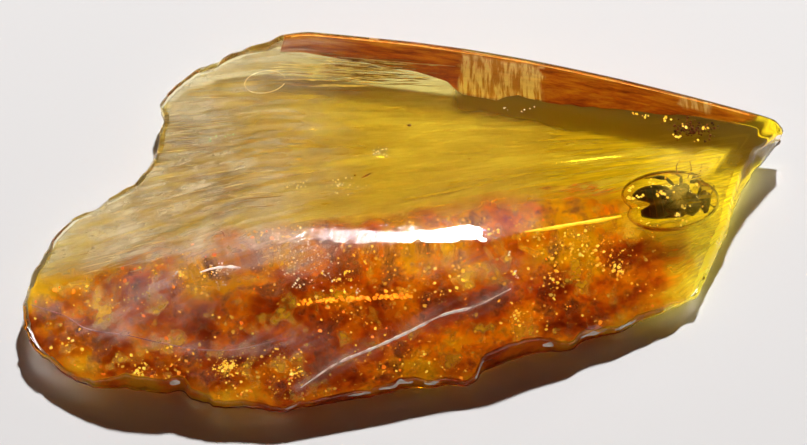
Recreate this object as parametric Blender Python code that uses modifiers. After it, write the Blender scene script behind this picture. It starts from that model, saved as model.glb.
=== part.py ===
"""Chip of amber with a small bee sealed inside.

A loose, broken and part polished chip, 36 mm long, that rests on the worn flat of its
underside. The clear solid is parted at the height of the bee, which lies in a pocket.
Frame: metres, +Z up, +X towards the pointed end, -Y towards the domed front.
"""
import math

import bmesh
import bpy
from mathutils import Matrix, Vector

MM = 0.001

# Chip, in millimetres.
BLANK_HEIGHT = 6.0
CREST_HEIGHT = 5.0
CUT_MARGIN = 1.0
MERGE = 0.001

# Broken edge of the chip in plan, anticlockwise from the pointed end.
EDGE = [
    (18.4, 4.25), (13.7, 5.1), (10.4, 5.9), (5.4, 7.05), (0.5, 8.02), (-4.5, 8.62),
    (-5.9, 8.65), (-7.8, 8.3), (-9.1, 7.7), (-9.8, 7.6), (-10.5, 7.1), (-11.2, 6.4),
    (-11.7, 5.5), (-11.5, 4.4), (-11.7, 3.1), (-12.3, 1.8), (-12.8, 0.9),
    (-14.2, 0.4), (-14.6, 0.0), (-15.6, -0.5), (-16.3, -1.1), (-16.7, -1.8), (-17.6, -3.7),
    (-18.0, -5.3), (-18.0, -6.4), (-17.7, -7.2), (-17.0, -8.1), (-15.3, -9.3), (-14.5, -9.6),
    (-13.0, -9.5), (-11.3, -9.8), (-10.5, -9.6), (-10.1, -10.1), (-9.0, -10.6), (-7.3, -10.7),
    (-5.4, -10.9), (-3.1, -10.3), (-1.2, -9.9), (0.2, -9.5), (3.1, -9.3), (3.7, -9.0),
    (3.9, -8.4), (5.0, -7.8), (6.4, -7.5), (7.9, -7.4), (8.4, -7.0), (10.4, -6.4), (11.8, -5.6),
    (13.0, -5.1), (13.9, -4.6), (14.5, -3.4), (15.0, -2.0), (15.6, -0.2), (16.1, 1.1),
    (16.8, 2.4), (17.6, 3.3),
]

# Faces of the upper side: a point on each, then its rise per millimetre along X and Y.
UPPER_FACES = {
    "polished_table": ((1.4, -3.8, CREST_HEIGHT), (-0.005, -0.14)),
    "left_slope": ((-16.3, -1.0, 1.3), (0.33, -0.2)),
    "crest_roll": ((1.4, -3.9, 4.98), (0.0, 0.2)),
    "dome_front": ((1.4, -4.9, 4.78), (0.03, 0.5)),
    "dome_foot": ((-8.5, -8.3, 2.8), (0.03, 0.62)),
    "left_front": ((-17.1, -7.0, 1.35), (0.4, 0.21)),
    "left_nib": ((-15.0, -9.4, 1.2), (0.4, 0.69)),
    "right_front": ((11.1, -6.1, 1.0), (-0.37, 0.765)),
    "scallop": ((-4.8, -10.0, 1.87), (-0.206, 1.013)),
    "right_flank": ((15.0, -2.0, 0.95), (-1.1, 0.72)),
    "tip_bevel": ((14.9, 4.9, 3.3), (-0.35, -0.35)),
}

# Faces of the underside, round the flat that the chip rests on.
LOWER_FACES = {
    "front_rise": ((0.0, -6.6, 0.0), (0.0, -0.22)),
    "right_front_rise": ((11.1, -6.1, 0.7), (0.109, -0.225)),
    "right_rise": ((15.0, -2.0, 0.6), (0.226, -0.108)),
    "left_rise": ((-17.1, -7.0, 1.0), (-0.141, -0.075)),
    "left_back_rise": ((-16.3, -1.0, 0.9), (-0.16, 0.12)),
    "back_foot": ((-6.0, 7.7, 1.0), (0.11, 0.66)),
    "back_wall_left": ((-1.0, 8.14, 3.32), (0.54, 3.79)),
    "back_wall_right": ((9.0, 6.25, 3.6), (0.834, 3.79)),
}

# Shell-shaped hollows: centre and radius of the ball that each follows.
GREAT_HOLLOW = ((4.0, -20.3, 13.2), 16.5)
EDGE_CHIPS = [
    ((-15.9, -10.2, 2.2), 1.5),
    ((-10.7, -11.2, 2.0), 1.5),
    ((-3.6, -11.4, 2.0), 1.3),
    ((9.3, -7.6, 1.9), 1.3),
    ((12.6, -6.3, 1.8), 1.3),
    ((-18.8, -4.6, 2.3), 1.5),
    ((-15.1, 0.9, 2.4), 1.5),
    ((-14.0, 3.2, 3.6), 2.9),
    ((-11.0, 7.4, 3.2), 1.7),
    ((-8.2, 8.9, 3.4), 1.5),
]

# Pocket round the bee.
POCKET_CENTRE = (12.42, -0.12, 1.95)
POCKET_RADII = (2.4, 1.3, 1.12)
POCKET_TURN = 7.0
PARTING_HEIGHT = 1.95
PARTING_GAP = 0.3

# Bee, in millimetres, along X with the head at +X and the back up.
BEE_PLACE = (12.47, -0.12, 1.95)
BEE_ROLL = 58.0
BEE_TURN = 7.0
THORAX_CENTRE = (0.58, 0.0, 0.04)
THORAX_RADII = (0.58, 0.52, 0.5)
HEAD_CENTRE = (1.36, 0.0, -0.08)
HEAD_RADII = (0.32, 0.52, 0.44)
EYE_OFFSET = 0.42
EYE_RADII = (0.18, 0.13, 0.3)
WAIST_X = 0.08
ABDOMEN_FLATTEN = 0.88
WING_THICKNESS = 0.05

# Abdomen profile: distance behind the waist and radius, with a step at each plate.
ABDOMEN_PROFILE = [
    (0.0, 0.12), (0.1, 0.3), (0.3, 0.42), (0.34, 0.4), (0.62, 0.5), (0.66, 0.47), (0.98, 0.52),
    (1.02, 0.48), (1.32, 0.45), (1.36, 0.41), (1.62, 0.3), (1.66, 0.26), (1.86, 0.12), (1.94, 0.0),
]

# Legs of one side: hip, knee, heel and toe, with the tube's radius at each.
LEGS = {
    "fore": [((0.95, 0.2, -0.32), 0.09), ((1.2, 0.55, -0.55), 0.09), ((1.35, 0.4, -0.85), 0.07),
             ((1.55, 0.25, -0.98), 0.04)],
    "middle": [((0.55, 0.22, -0.38), 0.09), ((0.6, 0.68, -0.5), 0.09),
               ((0.4, 0.6, -0.85), 0.07), ((0.15, 0.45, -1.0), 0.04)],
    "hind": [((0.2, 0.2, -0.36), 0.1), ((-0.1, 0.72, -0.4), 0.1), ((-0.6, 0.66, -0.62), 0.12),
             ((-1.15, 0.45, -0.8), 0.05)],
}
ANTENNA = [((1.58, 0.12, -0.05), 0.045), ((1.82, 0.34, -0.02), 0.045), ((1.95, 0.5, -0.32), 0.05),
           ((1.9, 0.5, -0.6), 0.045)]
WING_OUTLINE = [(0.0, 0.0), (-0.5, 0.16), (-1.2, 0.22), (-1.9, 0.1), (-2.05, -0.12), (-1.8, -0.34),
                (-1.2, -0.4), (-0.5, -0.26)]
WING_ROOT = (0.42, 0.3, 0.36)
WING_TURN = -9.0
WING_TILT = 24.0


def clear_scene():
    for old in list(bpy.data.objects):
        bpy.data.objects.remove(old, do_unlink=True)


def make_collection(name):
    collection = bpy.data.collections.new(name)
    bpy.context.scene.collection.children.link(collection)
    return collection


def make_material(name, colour, roughness, transmission=0.0, ior=1.5):
    material = bpy.data.materials.new(name)
    material.use_nodes = True
    shader = material.node_tree.nodes["Principled BSDF"]
    shader.inputs["Base Color"].default_value = (*colour, 1.0)
    shader.inputs["Roughness"].default_value = roughness
    shader.inputs["Metallic"].default_value = 0.0
    shader.inputs["Transmission Weight"].default_value = transmission
    shader.inputs["IOR"].default_value = ior
    return material


def object_from_bmesh(name, bm, collection):
    """Write a bmesh, modelled in millimetres, to a new object in metres."""
    bmesh.ops.scale(bm, vec=(MM, MM, MM), verts=bm.verts)
    mesh = bpy.data.meshes.new(name)
    bm.to_mesh(mesh)
    bm.free()
    obj = bpy.data.objects.new(name, mesh)
    collection.objects.link(obj)
    return obj


def as_cutter(obj):
    obj.hide_render = True
    obj.display_type = "WIRE"
    return obj


def add_boolean(obj, operation, other):
    modifier = obj.modifiers.new(f"{operation.lower()}_{other.name}", "BOOLEAN")
    modifier.operation = operation
    modifier.solver = "EXACT"
    if isinstance(other, bpy.types.Collection):
        modifier.operand_type = "COLLECTION"
        modifier.collection = other
    else:
        modifier.object = other


def shade_smooth(obj):
    for polygon in obj.data.polygons:
        polygon.use_smooth = True


def ellipsoid(name, centre, radii, collection, segments=20, rings=12, turn=0.0):
    """Scaled ball with its long axis along X, its poles at the ends of that axis."""
    bm = bmesh.new()
    bmesh.ops.create_uvsphere(bm, u_segments=segments, v_segments=rings, radius=1.0)
    place = (Matrix.Translation(centre) @ Matrix.Rotation(math.radians(turn), 4, "Z")
             @ Matrix.Diagonal((*radii, 1.0)) @ Matrix.Rotation(math.radians(90.0), 4, "Y"))
    bmesh.ops.transform(bm, matrix=place, verts=bm.verts)
    obj = object_from_bmesh(name, bm, collection)
    shade_smooth(obj)
    return obj


def box(name, low, high, collection):
    bm = bmesh.new()
    bmesh.ops.create_cube(bm, size=1.0)
    size = Vector(high) - Vector(low)
    middle = (Vector(high) + Vector(low)) / 2
    bmesh.ops.scale(bm, vec=size, verts=bm.verts)
    bmesh.ops.translate(bm, vec=middle, verts=bm.verts)
    return as_cutter(object_from_bmesh(name, bm, collection))


# Chip


def cut_face(bm, point, slope, keep_below):
    """Cut the solid along a sloping plane and close the cut with a flat face."""
    normal = Vector((-slope[0], -slope[1], 1.0)).normalized()
    if not keep_below:
        normal.negate()
    cut = bmesh.ops.bisect_plane(
        bm, geom=bm.verts[:] + bm.edges[:] + bm.faces[:], dist=MERGE,
        plane_co=point, plane_no=normal, clear_outer=True)
    rim = [item for item in cut["geom_cut"] if isinstance(item, bmesh.types.BMEdge)]
    bmesh.ops.edgenet_fill(bm, edges=rim)
    bmesh.ops.remove_doubles(bm, verts=bm.verts, dist=MERGE)


def chip_solid():
    """Broken outline as a thick slab, then every face of the chip cut on it."""
    bm = bmesh.new()
    foot = [bm.verts.new((x, y, 0.0)) for x, y in EDGE]
    slab = bm.faces.new(foot)
    raised = bmesh.ops.extrude_face_region(bm, geom=[slab])
    top = [item for item in raised["geom"] if isinstance(item, bmesh.types.BMVert)]
    bmesh.ops.translate(bm, vec=(0.0, 0.0, BLANK_HEIGHT), verts=top)
    bmesh.ops.recalc_face_normals(bm, faces=bm.faces)
    for point, slope in UPPER_FACES.values():
        cut_face(bm, point, slope, keep_below=True)
    for point, slope in LOWER_FACES.values():
        cut_face(bm, point, slope, keep_below=False)
    bmesh.ops.recalc_face_normals(bm, faces=bm.faces)
    return bm


def make_hollows(cutters):
    """Balls whose surfaces are the shell-shaped breaks of the chip."""
    hollows = []
    centre, radius = GREAT_HOLLOW
    hollows.append(ellipsoid("great_hollow", centre, (radius,) * 3, cutters, 72, 48))
    for number, (centre, radius) in enumerate(EDGE_CHIPS):
        hollows.append(ellipsoid(f"edge_chip_{number}", centre, (radius,) * 3, cutters, 20, 12))
    return [as_cutter(hollow) for hollow in hollows]


def make_chip(parts, cutters):
    """Lower and upper halves of the clear chip, with the bee's pocket between them."""
    amber = make_material("clear_amber", (0.80, 0.42, 0.06), 0.08, transmission=0.85, ior=1.54)
    hollows = make_hollows(cutters)
    pocket = as_cutter(ellipsoid("bee_pocket", POCKET_CENTRE, POCKET_RADII, cutters, 32, 20,
                                 turn=POCKET_TURN))
    reach_x = max(abs(x) for x, _ in EDGE) + CUT_MARGIN
    reach_y = max(abs(y) for _, y in EDGE) + CUT_MARGIN
    seam_low = PARTING_HEIGHT - PARTING_GAP / 2
    seam_high = PARTING_HEIGHT + PARTING_GAP / 2
    below = box("below_parting", (-reach_x, -reach_y, -CUT_MARGIN), (reach_x, reach_y, seam_low),
                cutters)
    above = box("above_parting", (-reach_x, -reach_y, seam_high),
                (reach_x, reach_y, BLANK_HEIGHT + CUT_MARGIN), cutters)
    for name, half in (("amber_lower", below), ("amber_upper", above)):
        chip = object_from_bmesh(name, chip_solid(), parts)
        chip.data.materials.append(amber)
        for hollow in hollows:
            add_boolean(chip, "DIFFERENCE", hollow)
        add_boolean(chip, "DIFFERENCE", pocket)
        add_boolean(chip, "INTERSECT", half)


# Bee


def tube(name, points, collection, mirror=False):
    """Tapered tube through a few points, as a closed mesh."""
    side = -1.0 if mirror else 1.0
    curve = bpy.data.curves.new(name, "CURVE")
    curve.dimensions = "3D"
    curve.bevel_depth = MM
    curve.bevel_resolution = 2
    curve.use_fill_caps = True
    spline = curve.splines.new("POLY")
    spline.points.add(len(points) - 1)
    for knot, ((x, y, z), radius) in zip(spline.points, points):
        knot.co = (x * MM, side * y * MM, z * MM, 1.0)
        knot.radius = radius
    rod = bpy.data.objects.new(f"{name}_curve", curve)
    collection.objects.link(rod)
    bpy.context.view_layer.update()
    evaluated = rod.evaluated_get(bpy.context.evaluated_depsgraph_get())
    mesh = bpy.data.meshes.new_from_object(evaluated)
    bm = bmesh.new()
    bm.from_mesh(mesh)
    bmesh.ops.remove_doubles(bm, verts=bm.verts, dist=MERGE * MM)
    bmesh.ops.recalc_face_normals(bm, faces=bm.faces)
    bm.to_mesh(mesh)
    bm.free()
    obj = bpy.data.objects.new(name, mesh)
    obj.matrix_world = rod.matrix_world
    collection.objects.link(obj)
    bpy.data.objects.remove(rod)
    return obj


def make_abdomen(collection):
    """Plated abdomen, turned from its profile and laid along X behind the waist."""
    bm = bmesh.new()
    rim = [bm.verts.new((radius, 0.0, length)) for length, radius in reversed(ABDOMEN_PROFILE)]
    for first, second in zip(rim, rim[1:]):
        bm.edges.new((first, second))
    centre = bm.verts.new((0.0, 0.0, 0.0))
    bm.edges.new((rim[-1], centre))
    place = (Matrix.Translation((WAIST_X, 0.0, -0.02)) @ Matrix.Diagonal((1, 1, ABDOMEN_FLATTEN, 1))
             @ Matrix.Rotation(math.radians(-90.0), 4, "Y"))
    obj = object_from_bmesh("abdomen", bm, collection)
    turn = obj.modifiers.new("turned", "SCREW")
    turn.steps = 18
    turn.render_steps = 18
    turn.use_merge_vertices = True
    turn.merge_threshold = MERGE * MM
    turn.use_normal_calculate = True
    obj.matrix_world = Matrix.Scale(MM, 4) @ place @ Matrix.Scale(1.0 / MM, 4)
    return obj


def make_wing(name, collection, mirror):
    """Thin folded wing that lies back along one side of the abdomen."""
    side = -1.0 if mirror else 1.0
    bm = bmesh.new()
    bm.faces.new([bm.verts.new((x, y, 0.0)) for x, y in WING_OUTLINE])
    lifted = bmesh.ops.extrude_face_region(bm, geom=bm.faces[:])
    top = [item for item in lifted["geom"] if isinstance(item, bmesh.types.BMVert)]
    bmesh.ops.translate(bm, vec=(0.0, 0.0, WING_THICKNESS), verts=top)
    place = (Matrix.Translation(WING_ROOT) @ Matrix.Rotation(math.radians(WING_TURN), 4, "Y")
             @ Matrix.Rotation(math.radians(-WING_TILT), 4, "X"))
    bmesh.ops.transform(bm, matrix=Matrix.Diagonal((1.0, side, 1.0, 1.0)) @ place, verts=bm.verts)
    bmesh.ops.recalc_face_normals(bm, faces=bm.faces)
    return object_from_bmesh(name, bm, collection)


def make_bee(parts, members):
    """Head, limbs, wings and abdomen welded to the thorax, laid on its side."""
    bee = ellipsoid("insect", THORAX_CENTRE, THORAX_RADII, parts, 20, 12)
    bee.data.materials.append(make_material("dark_cuticle", (0.045, 0.03, 0.018), 0.3))
    ellipsoid("head", HEAD_CENTRE, HEAD_RADII, members, 16, 10)
    ellipsoid("scutellum", (0.16, 0.0, 0.3), (0.24, 0.32, 0.17), members, 12, 8)
    ellipsoid("neck", (1.05, 0.0, -0.03), (0.2, 0.2, 0.2), members, 10, 6)
    ellipsoid("mouth", (1.48, 0.0, -0.46), (0.16, 0.22, 0.16), members, 10, 6)
    make_abdomen(members)
    for mirror, side in ((False, "left"), (True, "right")):
        place = Vector((1.38, -EYE_OFFSET if mirror else EYE_OFFSET, 0.0))
        ellipsoid(f"eye_{side}", place, EYE_RADII, members, 12, 8)
        for name, points in LEGS.items():
            tube(f"{name}_leg_{side}", points, members, mirror)
        tube(f"antenna_{side}", ANTENNA, members, mirror)
        make_wing(f"wing_{side}", members, mirror)
    lay = (Matrix.Translation(Vector(BEE_PLACE) * MM) @ Matrix.Rotation(math.radians(BEE_TURN), 4, "Z")
           @ Matrix.Rotation(math.radians(BEE_ROLL), 4, "X"))
    for piece in [bee, *members.objects]:
        piece.matrix_world = lay @ piece.matrix_world
    for member in members.objects:
        as_cutter(member)
        add_boolean(bee, "UNION", member)


def centre_on_origin(parts, others):
    """Move everything so that the finished object's box stands centred over the origin."""
    bpy.context.view_layer.update()
    graph = bpy.context.evaluated_depsgraph_get()
    corners = []
    for obj in parts.objects:
        finished = obj.evaluated_get(graph)
        corners += [finished.matrix_world @ Vector(corner) for corner in finished.bound_box]
    middle = [(min(c[axis] for c in corners) + max(c[axis] for c in corners)) / 2 for axis in (0, 1)]
    shift = Matrix.Translation((-middle[0], -middle[1], 0.0))
    for obj in [*parts.objects, *others]:
        obj.matrix_world = shift @ obj.matrix_world


def main():
    clear_scene()
    parts = make_collection("bee_in_amber")
    cutters = make_collection("cutters")
    members = make_collection("bee_members")
    make_chip(parts, cutters)
    make_bee(parts, members)
    centre_on_origin(parts, [*cutters.objects, *members.objects])
    bpy.context.view_layer.update()


main()
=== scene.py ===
"""Finished look of a chip of amber with a small bee sealed inside.

Lengths are in millimetres in the chip's own plan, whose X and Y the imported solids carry
with a small shift; every mesh is moved by that shift and written in metres.
"""
import logging
import math
from dataclasses import dataclass, field
from enum import Enum

import bmesh
import bpy
import numpy as np
from mathutils import Matrix, Vector


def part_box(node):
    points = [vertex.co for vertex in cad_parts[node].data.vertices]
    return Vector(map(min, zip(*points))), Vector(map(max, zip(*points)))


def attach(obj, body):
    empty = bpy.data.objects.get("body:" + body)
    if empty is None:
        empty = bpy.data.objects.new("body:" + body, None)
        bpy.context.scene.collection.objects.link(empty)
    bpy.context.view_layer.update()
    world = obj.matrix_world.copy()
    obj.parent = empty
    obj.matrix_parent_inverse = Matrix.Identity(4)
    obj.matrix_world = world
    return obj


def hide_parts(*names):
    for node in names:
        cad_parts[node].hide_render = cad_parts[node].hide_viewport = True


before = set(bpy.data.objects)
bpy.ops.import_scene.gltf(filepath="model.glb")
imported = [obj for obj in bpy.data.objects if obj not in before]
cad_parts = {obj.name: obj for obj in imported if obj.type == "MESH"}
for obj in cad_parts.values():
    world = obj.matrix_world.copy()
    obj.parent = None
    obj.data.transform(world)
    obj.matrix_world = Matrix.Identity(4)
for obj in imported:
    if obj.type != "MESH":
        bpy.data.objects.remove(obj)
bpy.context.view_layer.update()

LOG = logging.getLogger("bee_in_amber")
MM = 0.001

FAN_POINT = (24.0, 4.7)  # where the growth streaks would meet
FAN_ARC = 20.0  # radius at which a turn about that point is read as a length
GLANCE = 0.342  # shift along Y for each millimetre of depth, as seen through the table
LATTICE = 128  # cells after which the noise repeats
NOISE_START = (61.3, 47.7)  # place of the plan's origin in the noise, in cells
FRONT = -3.0  # plan Y in front of which the edge is broken crust
THIN = 0.006  # half thickness of a flake, and radius at the ends of a fine line
RIPPLES = ((1.6, 0.06, 31), (0.6, 0.02, 32))  # cell, depth and seed of the front's relief

Colour = tuple[float, float, float]
Point = tuple[float, float, float]
Pair = tuple[float, float]
Outline = tuple[Pair, ...]
Knots = tuple[tuple[float, float, float, float], ...]
Clusters = tuple[tuple[float, float, float, int], ...]
Places = tuple[tuple[Pair, Pair, float], ...]
Face = tuple[Point, Pair]
Mesh = tuple[np.ndarray, list]
Socket = bpy.types.NodeSocket
Piece = bpy.types.Object
Material = bpy.types.Material


class Side(Enum):
    """Sides of the bee, as the sign of its own Y."""

    LEFT = 1.0
    RIGHT = -1.0


# ---- numbers and noise


def smooth_noise(x: np.ndarray, y: np.ndarray, cell: float, seed: int) -> np.ndarray:
    """Soft random relief over the plan.

    Args:
        x: Plan positions along X.
        y: Plan positions along Y.
        cell: Distance over which the relief changes.
        seed: Number that picks the pattern.

    Returns:
        Values from 0 to 1, one for each position.
    """
    lattice = np.random.default_rng(seed).random((LATTICE, LATTICE))
    u, v = np.asarray(x) / cell + NOISE_START[0], np.asarray(y) / cell + NOISE_START[1]
    column, row = np.floor(u).astype(int), np.floor(v).astype(int)
    fu, fv = u - column, v - row
    fu, fv = fu * fu * (3 - 2 * fu), fv * fv * (3 - 2 * fv)
    left, right = column % LATTICE, (column + 1) % LATTICE
    low, high = row % LATTICE, (row + 1) % LATTICE
    near = lattice[left, low] * (1 - fu) + lattice[right, low] * fu
    far = lattice[left, high] * (1 - fu) + lattice[right, high] * fu
    return near * (1 - fv) + far * fv


def layered_noise(x: np.ndarray, y: np.ndarray, layers: tuple) -> np.ndarray:
    """Sum of reliefs over the plan, each given as its cell, depth and seed.

    Args:
        x: Plan X.
        y: Plan Y.
        layers: Cell, depth and seed of each relief.

    Returns:
        The sums.
    """
    return sum(smooth_noise(x, y, cell, seed) * depth for cell, depth, seed in layers)


def smooth_step(low: float, high: float, value: np.ndarray) -> np.ndarray:
    """Rise softly from 0 at low to 1 at high."""
    share = np.clip((np.asarray(value, float) - low) / (high - low), 0.0, 1.0)
    return share * share * (3 - 2 * share)


def ring_average(values: np.ndarray, reach: int) -> np.ndarray:
    """Average each value round a closed ring with its neighbours up to reach away."""
    return sum(np.roll(values, step, axis=0) for step in range(-reach, reach + 1)) / (2 * reach + 1)


def fan(x: np.ndarray, y: np.ndarray) -> tuple[np.ndarray, np.ndarray]:
    """Turn about the point that the growth streaks run to, and distance from it.

    Args:
        x: Plan positions along X.
        y: Plan positions along Y.

    Returns:
        The turn as millimetres along an arc of FAN_ARC, and the distance in millimetres.
    """
    across, along = y - FAN_POINT[1], FAN_POINT[0] - x
    return np.arctan2(across, along) * FAN_ARC, np.hypot(across, along)


def soft_min(values: list[np.ndarray], width: float) -> np.ndarray:
    """Lowest of several heights, rounded where two of them meet.

    Args:
        values: Heights to choose from.
        width: Width of the rounding.

    Returns:
        The heights.
    """
    stack = np.stack(values)
    floor = stack.min(axis=0)
    return floor - width * np.log(np.exp(-(stack - floor) / width).sum(axis=0))


# ---- form of the chip


@dataclass(frozen=True)
class ChipForm:
    """Outline and faces of the chip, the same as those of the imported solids.

    A face is a point on it and its slopes along X and Y, and a hollow is a ball's middle and
    radius.
    """

    edge: Outline = (
        (18.0, 3.9), (17.7, 4.06), (17.0, 4.27), (13.7, 5.08), (10.4, 5.87), (5.4, 7.0), (3.0, 7.5),
        (0.5, 7.93), (-4.5, 8.58), (-5.9, 8.62), (-7.8, 8.3), (-9.1, 7.7), (-9.8, 7.6),
        (-10.5, 7.1), (-11.2, 6.4), (-11.7, 5.5), (-11.5, 4.4), (-11.7, 3.1), (-12.3, 1.8),
        (-12.8, 0.9), (-14.2, 0.4), (-14.6, 0.0), (-15.6, -0.5), (-16.3, -1.1), (-16.7, -1.8),
        (-17.6, -3.7), (-18.0, -5.3), (-18.0, -6.4), (-17.7, -7.2), (-17.0, -8.1), (-15.3, -9.3),
        (-14.5, -9.6), (-13.0, -9.5), (-11.3, -9.8), (-10.5, -9.6), (-10.1, -10.1), (-9.0, -10.6),
        (-7.3, -10.7), (-5.4, -10.9), (-3.1, -10.3), (-1.2, -9.9), (0.2, -9.5), (3.1, -9.3),
        (3.7, -9.0), (3.9, -8.4), (5.0, -7.8), (6.4, -7.5), (7.9, -7.4), (8.4, -7.0),
        (10.4, -6.4), (11.8, -5.6), (13.0, -5.1), (13.9, -4.6), (14.5, -3.4), (15.0, -2.0),
        (15.6, -0.2), (16.1, 1.1), (16.8, 2.4), (17.6, 3.3))
    back_line: Outline = (
        (-4.5, 8.58), (0.5, 7.93), (5.4, 7.0), (13.7, 5.08), (17.0, 4.27), (18.2, 3.85))
    nicks: tuple[tuple[float, float, int], ...] = ((0.9, 0.22, 11), (0.3, 0.1, 12))
    back_depth: Pair = (-0.5, -0.2)
    back_start: Pair = (-6.6, -5.6)
    rounding: float = 0.07
    foot_rounding: float = 0.12
    foot_drop: float = 0.05
    crest_rounding: float = 0.16
    crest_crown: float = 0.005
    crest_middle: float = 0.2
    crest_rise: float = 0.14
    upper: tuple[Face, ...] = (
        ((1.4, -3.8, 5.0), (0.005, -0.14)),
        ((1.4, -3.9, 4.98), (0.0, 0.2)),
        ((-16.3, -1.0, 1.3), (0.33, -0.2)),
        ((1.4, -4.9, 4.78), (0.03, 0.5)),
        ((-8.5, -8.3, 2.8), (0.03, 0.62)),
        ((-17.1, -7.0, 1.35), (0.4, 0.21)),
        ((-15.0, -9.4, 1.2), (0.4, 0.69)),
        ((11.1, -6.1, 1.0), (-0.37, 0.765)),
        ((-4.8, -10.0, 1.87), (-0.206, 1.013)),
        ((15.0, -2.0, 0.95), (-1.1, 0.72)),
        ((14.9, 4.9, 3.3), (-0.35, -0.35)))
    lower: tuple[Face, ...] = (
        ((0.0, -6.6, 0.0), (0.0, -0.22)),
        ((11.1, -6.1, 0.7), (0.109, -0.225)),
        ((15.0, -2.0, 0.6), (0.226, -0.108)),
        ((-17.1, -7.0, 1.0), (-0.141, -0.075)),
        ((-16.3, -1.0, 0.9), (-0.16, 0.12)),
        ((-6.0, 7.7, 1.0), (0.11, 0.66)))
    hollows: tuple[tuple[Point, float], ...] = (
        ((4.0, -20.3, 13.2), 16.5),
        ((-15.9, -10.2, 2.2), 1.5), ((-10.7, -11.2, 2.0), 1.5), ((-3.6, -11.4, 2.0), 1.3),
        ((9.3, -7.6, 1.9), 1.3), ((12.6, -6.3, 1.8), 1.3), ((-18.8, -4.6, 2.3), 1.5),
        ((-15.1, 0.9, 2.4), 1.5), ((-14.0, 3.2, 3.6), 2.9), ((-11.0, 7.4, 3.2), 1.7),
        ((-8.2, 8.9, 3.4), 1.5))
    crust_line: Outline = (
        (-18.0, -4.3), (-16.8, -4.0), (-14.4, -3.5), (-9.7, -2.6), (-5.0, -2.2), (-1.0, -1.7),
        (2.0, -1.1), (5.4, -0.3), (8.0, -0.1), (10.0, -0.4), (12.0, -0.9), (13.0, -1.8),
        (14.0, -3.0), (16.0, -4.0))
    heart: Pair = (-1.0, -1.5)
    wall_lean: float = 0.26
    wall_foot: float = 1.35
    pocket_centre: Point = (12.42, -0.12, 1.95)
    pocket_radii: Point = (2.36, 1.27, 1.09)
    pocket_turn: float = 7.0

    def shift(self) -> np.ndarray:
        """Move from the plan to the frame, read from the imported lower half.

        Returns:
            The move in millimetres.
        """
        low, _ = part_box("amber_lower")
        left = min(x for x, _ in self.edge)
        front = min(y for _, y in self.edge)
        return np.array([low[0] / MM - left, low[1] / MM - front, 0.0])

    def top(self, x: np.ndarray, y: np.ndarray) -> np.ndarray:
        """Height of the upper surface before its fine relief.

        Args:
            x: Plan X.
            y: Plan Y.

        Returns:
            The heights.
        """
        table, roll, *others = [p[2] + s[0] * (x - p[0]) + s[1] * (y - p[1])
                                for p, s in self.upper]
        crest = soft_min([table, roll], self.crest_rounding) + self.crest_rise
        crest = crest - self.crest_crown * (x - self.crest_middle) ** 2
        surface = soft_min([crest, table, *others], self.rounding)
        for (cx, cy, cz), radius in self.hollows:
            reach = radius ** 2 - (x - cx) ** 2 - (y - cy) ** 2
            bowl = cz - np.sqrt(np.maximum(reach, 0.0))
            surface = np.where(reach > 0, soft_min([surface, bowl], self.rounding / 3), surface)
        return surface

    def base(self, x: np.ndarray, y: np.ndarray) -> np.ndarray:
        """Height of the underside before its fine relief.

        Args:
            x: Plan X.
            y: Plan Y.

        Returns:
            The heights.
        """
        heights = [p[2] + s[0] * (x - p[0]) + s[1] * (y - p[1]) for p, s in self.lower]
        highest = -soft_min([-h for h in heights] + [np.zeros_like(x)], self.foot_rounding)
        return np.maximum(highest - self.foot_drop, 0.0)

    def outline(self, count: int) -> np.ndarray:
        """Evenly spaced points round the broken edge, with its small nicks.

        Args:
            count: Number of points.

        Returns:
            Plan positions, one row for each point.
        """
        corners = np.array(self.edge)
        closed = np.vstack([corners, corners[:1]])
        steps = np.linalg.norm(np.diff(closed, axis=0), axis=1)
        along = np.concatenate([[0.0], np.cumsum(steps)])
        places = np.arange(count) * along[-1] / count
        points = np.stack([np.interp(places, along, closed[:, axis]) for axis in (0, 1)], axis=1)
        for _ in range(2):
            points = (np.roll(points, 1, 0) + 2 * points + np.roll(points, -1, 0)) / 4
        inward = self.inward(points)
        broken = 1.0 - self.polished_back(points)
        nick = layered_noise(places, places * 0, self.nicks)
        return points + inward * (nick * broken)[:, None]

    @staticmethod
    def inward(points: np.ndarray) -> np.ndarray:
        """Unit directions that point into the chip from its outline.

        Args:
            points: The outline's points in order.

        Returns:
            One direction for each point.
        """
        tangent = np.roll(points, -1, 0) - np.roll(points, 1, 0)
        tangent /= np.linalg.norm(tangent, axis=1)[:, None]
        return np.stack([-tangent[:, 1], tangent[:, 0]], axis=1)

    def crust_edge(self, x: np.ndarray) -> np.ndarray:
        """Plan Y behind which the weathered crust of the front ends."""
        along, edge = zip(*self.crust_line)
        return np.interp(x, along, edge)

    def reach(self, x: np.ndarray, y: np.ndarray) -> np.ndarray:
        """Share of the way from the heart to the broken edge, 1 at the edge.

        Args:
            x: Plan X.
            y: Plan Y.

        Returns:
            One share for each position.
        """
        corners = np.array(self.edge) - self.heart
        turn = np.arctan2(corners[:, 1], corners[:, 0])
        order = np.argsort(turn)
        far = np.hypot(*corners[order].T)
        dx, dy = x - self.heart[0], y - self.heart[1]
        edge = np.interp(np.arctan2(dy, dx), turn[order], far, period=2 * math.pi)
        return np.hypot(dx, dy) / edge

    def back_edge(self, x: np.ndarray) -> np.ndarray:
        """Plan Y of the polished back's upper edge."""
        along, edge = zip(*self.back_line)
        return np.interp(x, along, edge)

    def polished_back(self, points: np.ndarray) -> np.ndarray:
        """One along the straight polished back, zero round the broken edge."""
        distance = points[:, 1] - self.back_edge(points[:, 0])
        return smooth_step(*self.back_depth, distance) * smooth_step(*self.back_start, points[:, 0])


# ---- meshes


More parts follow.
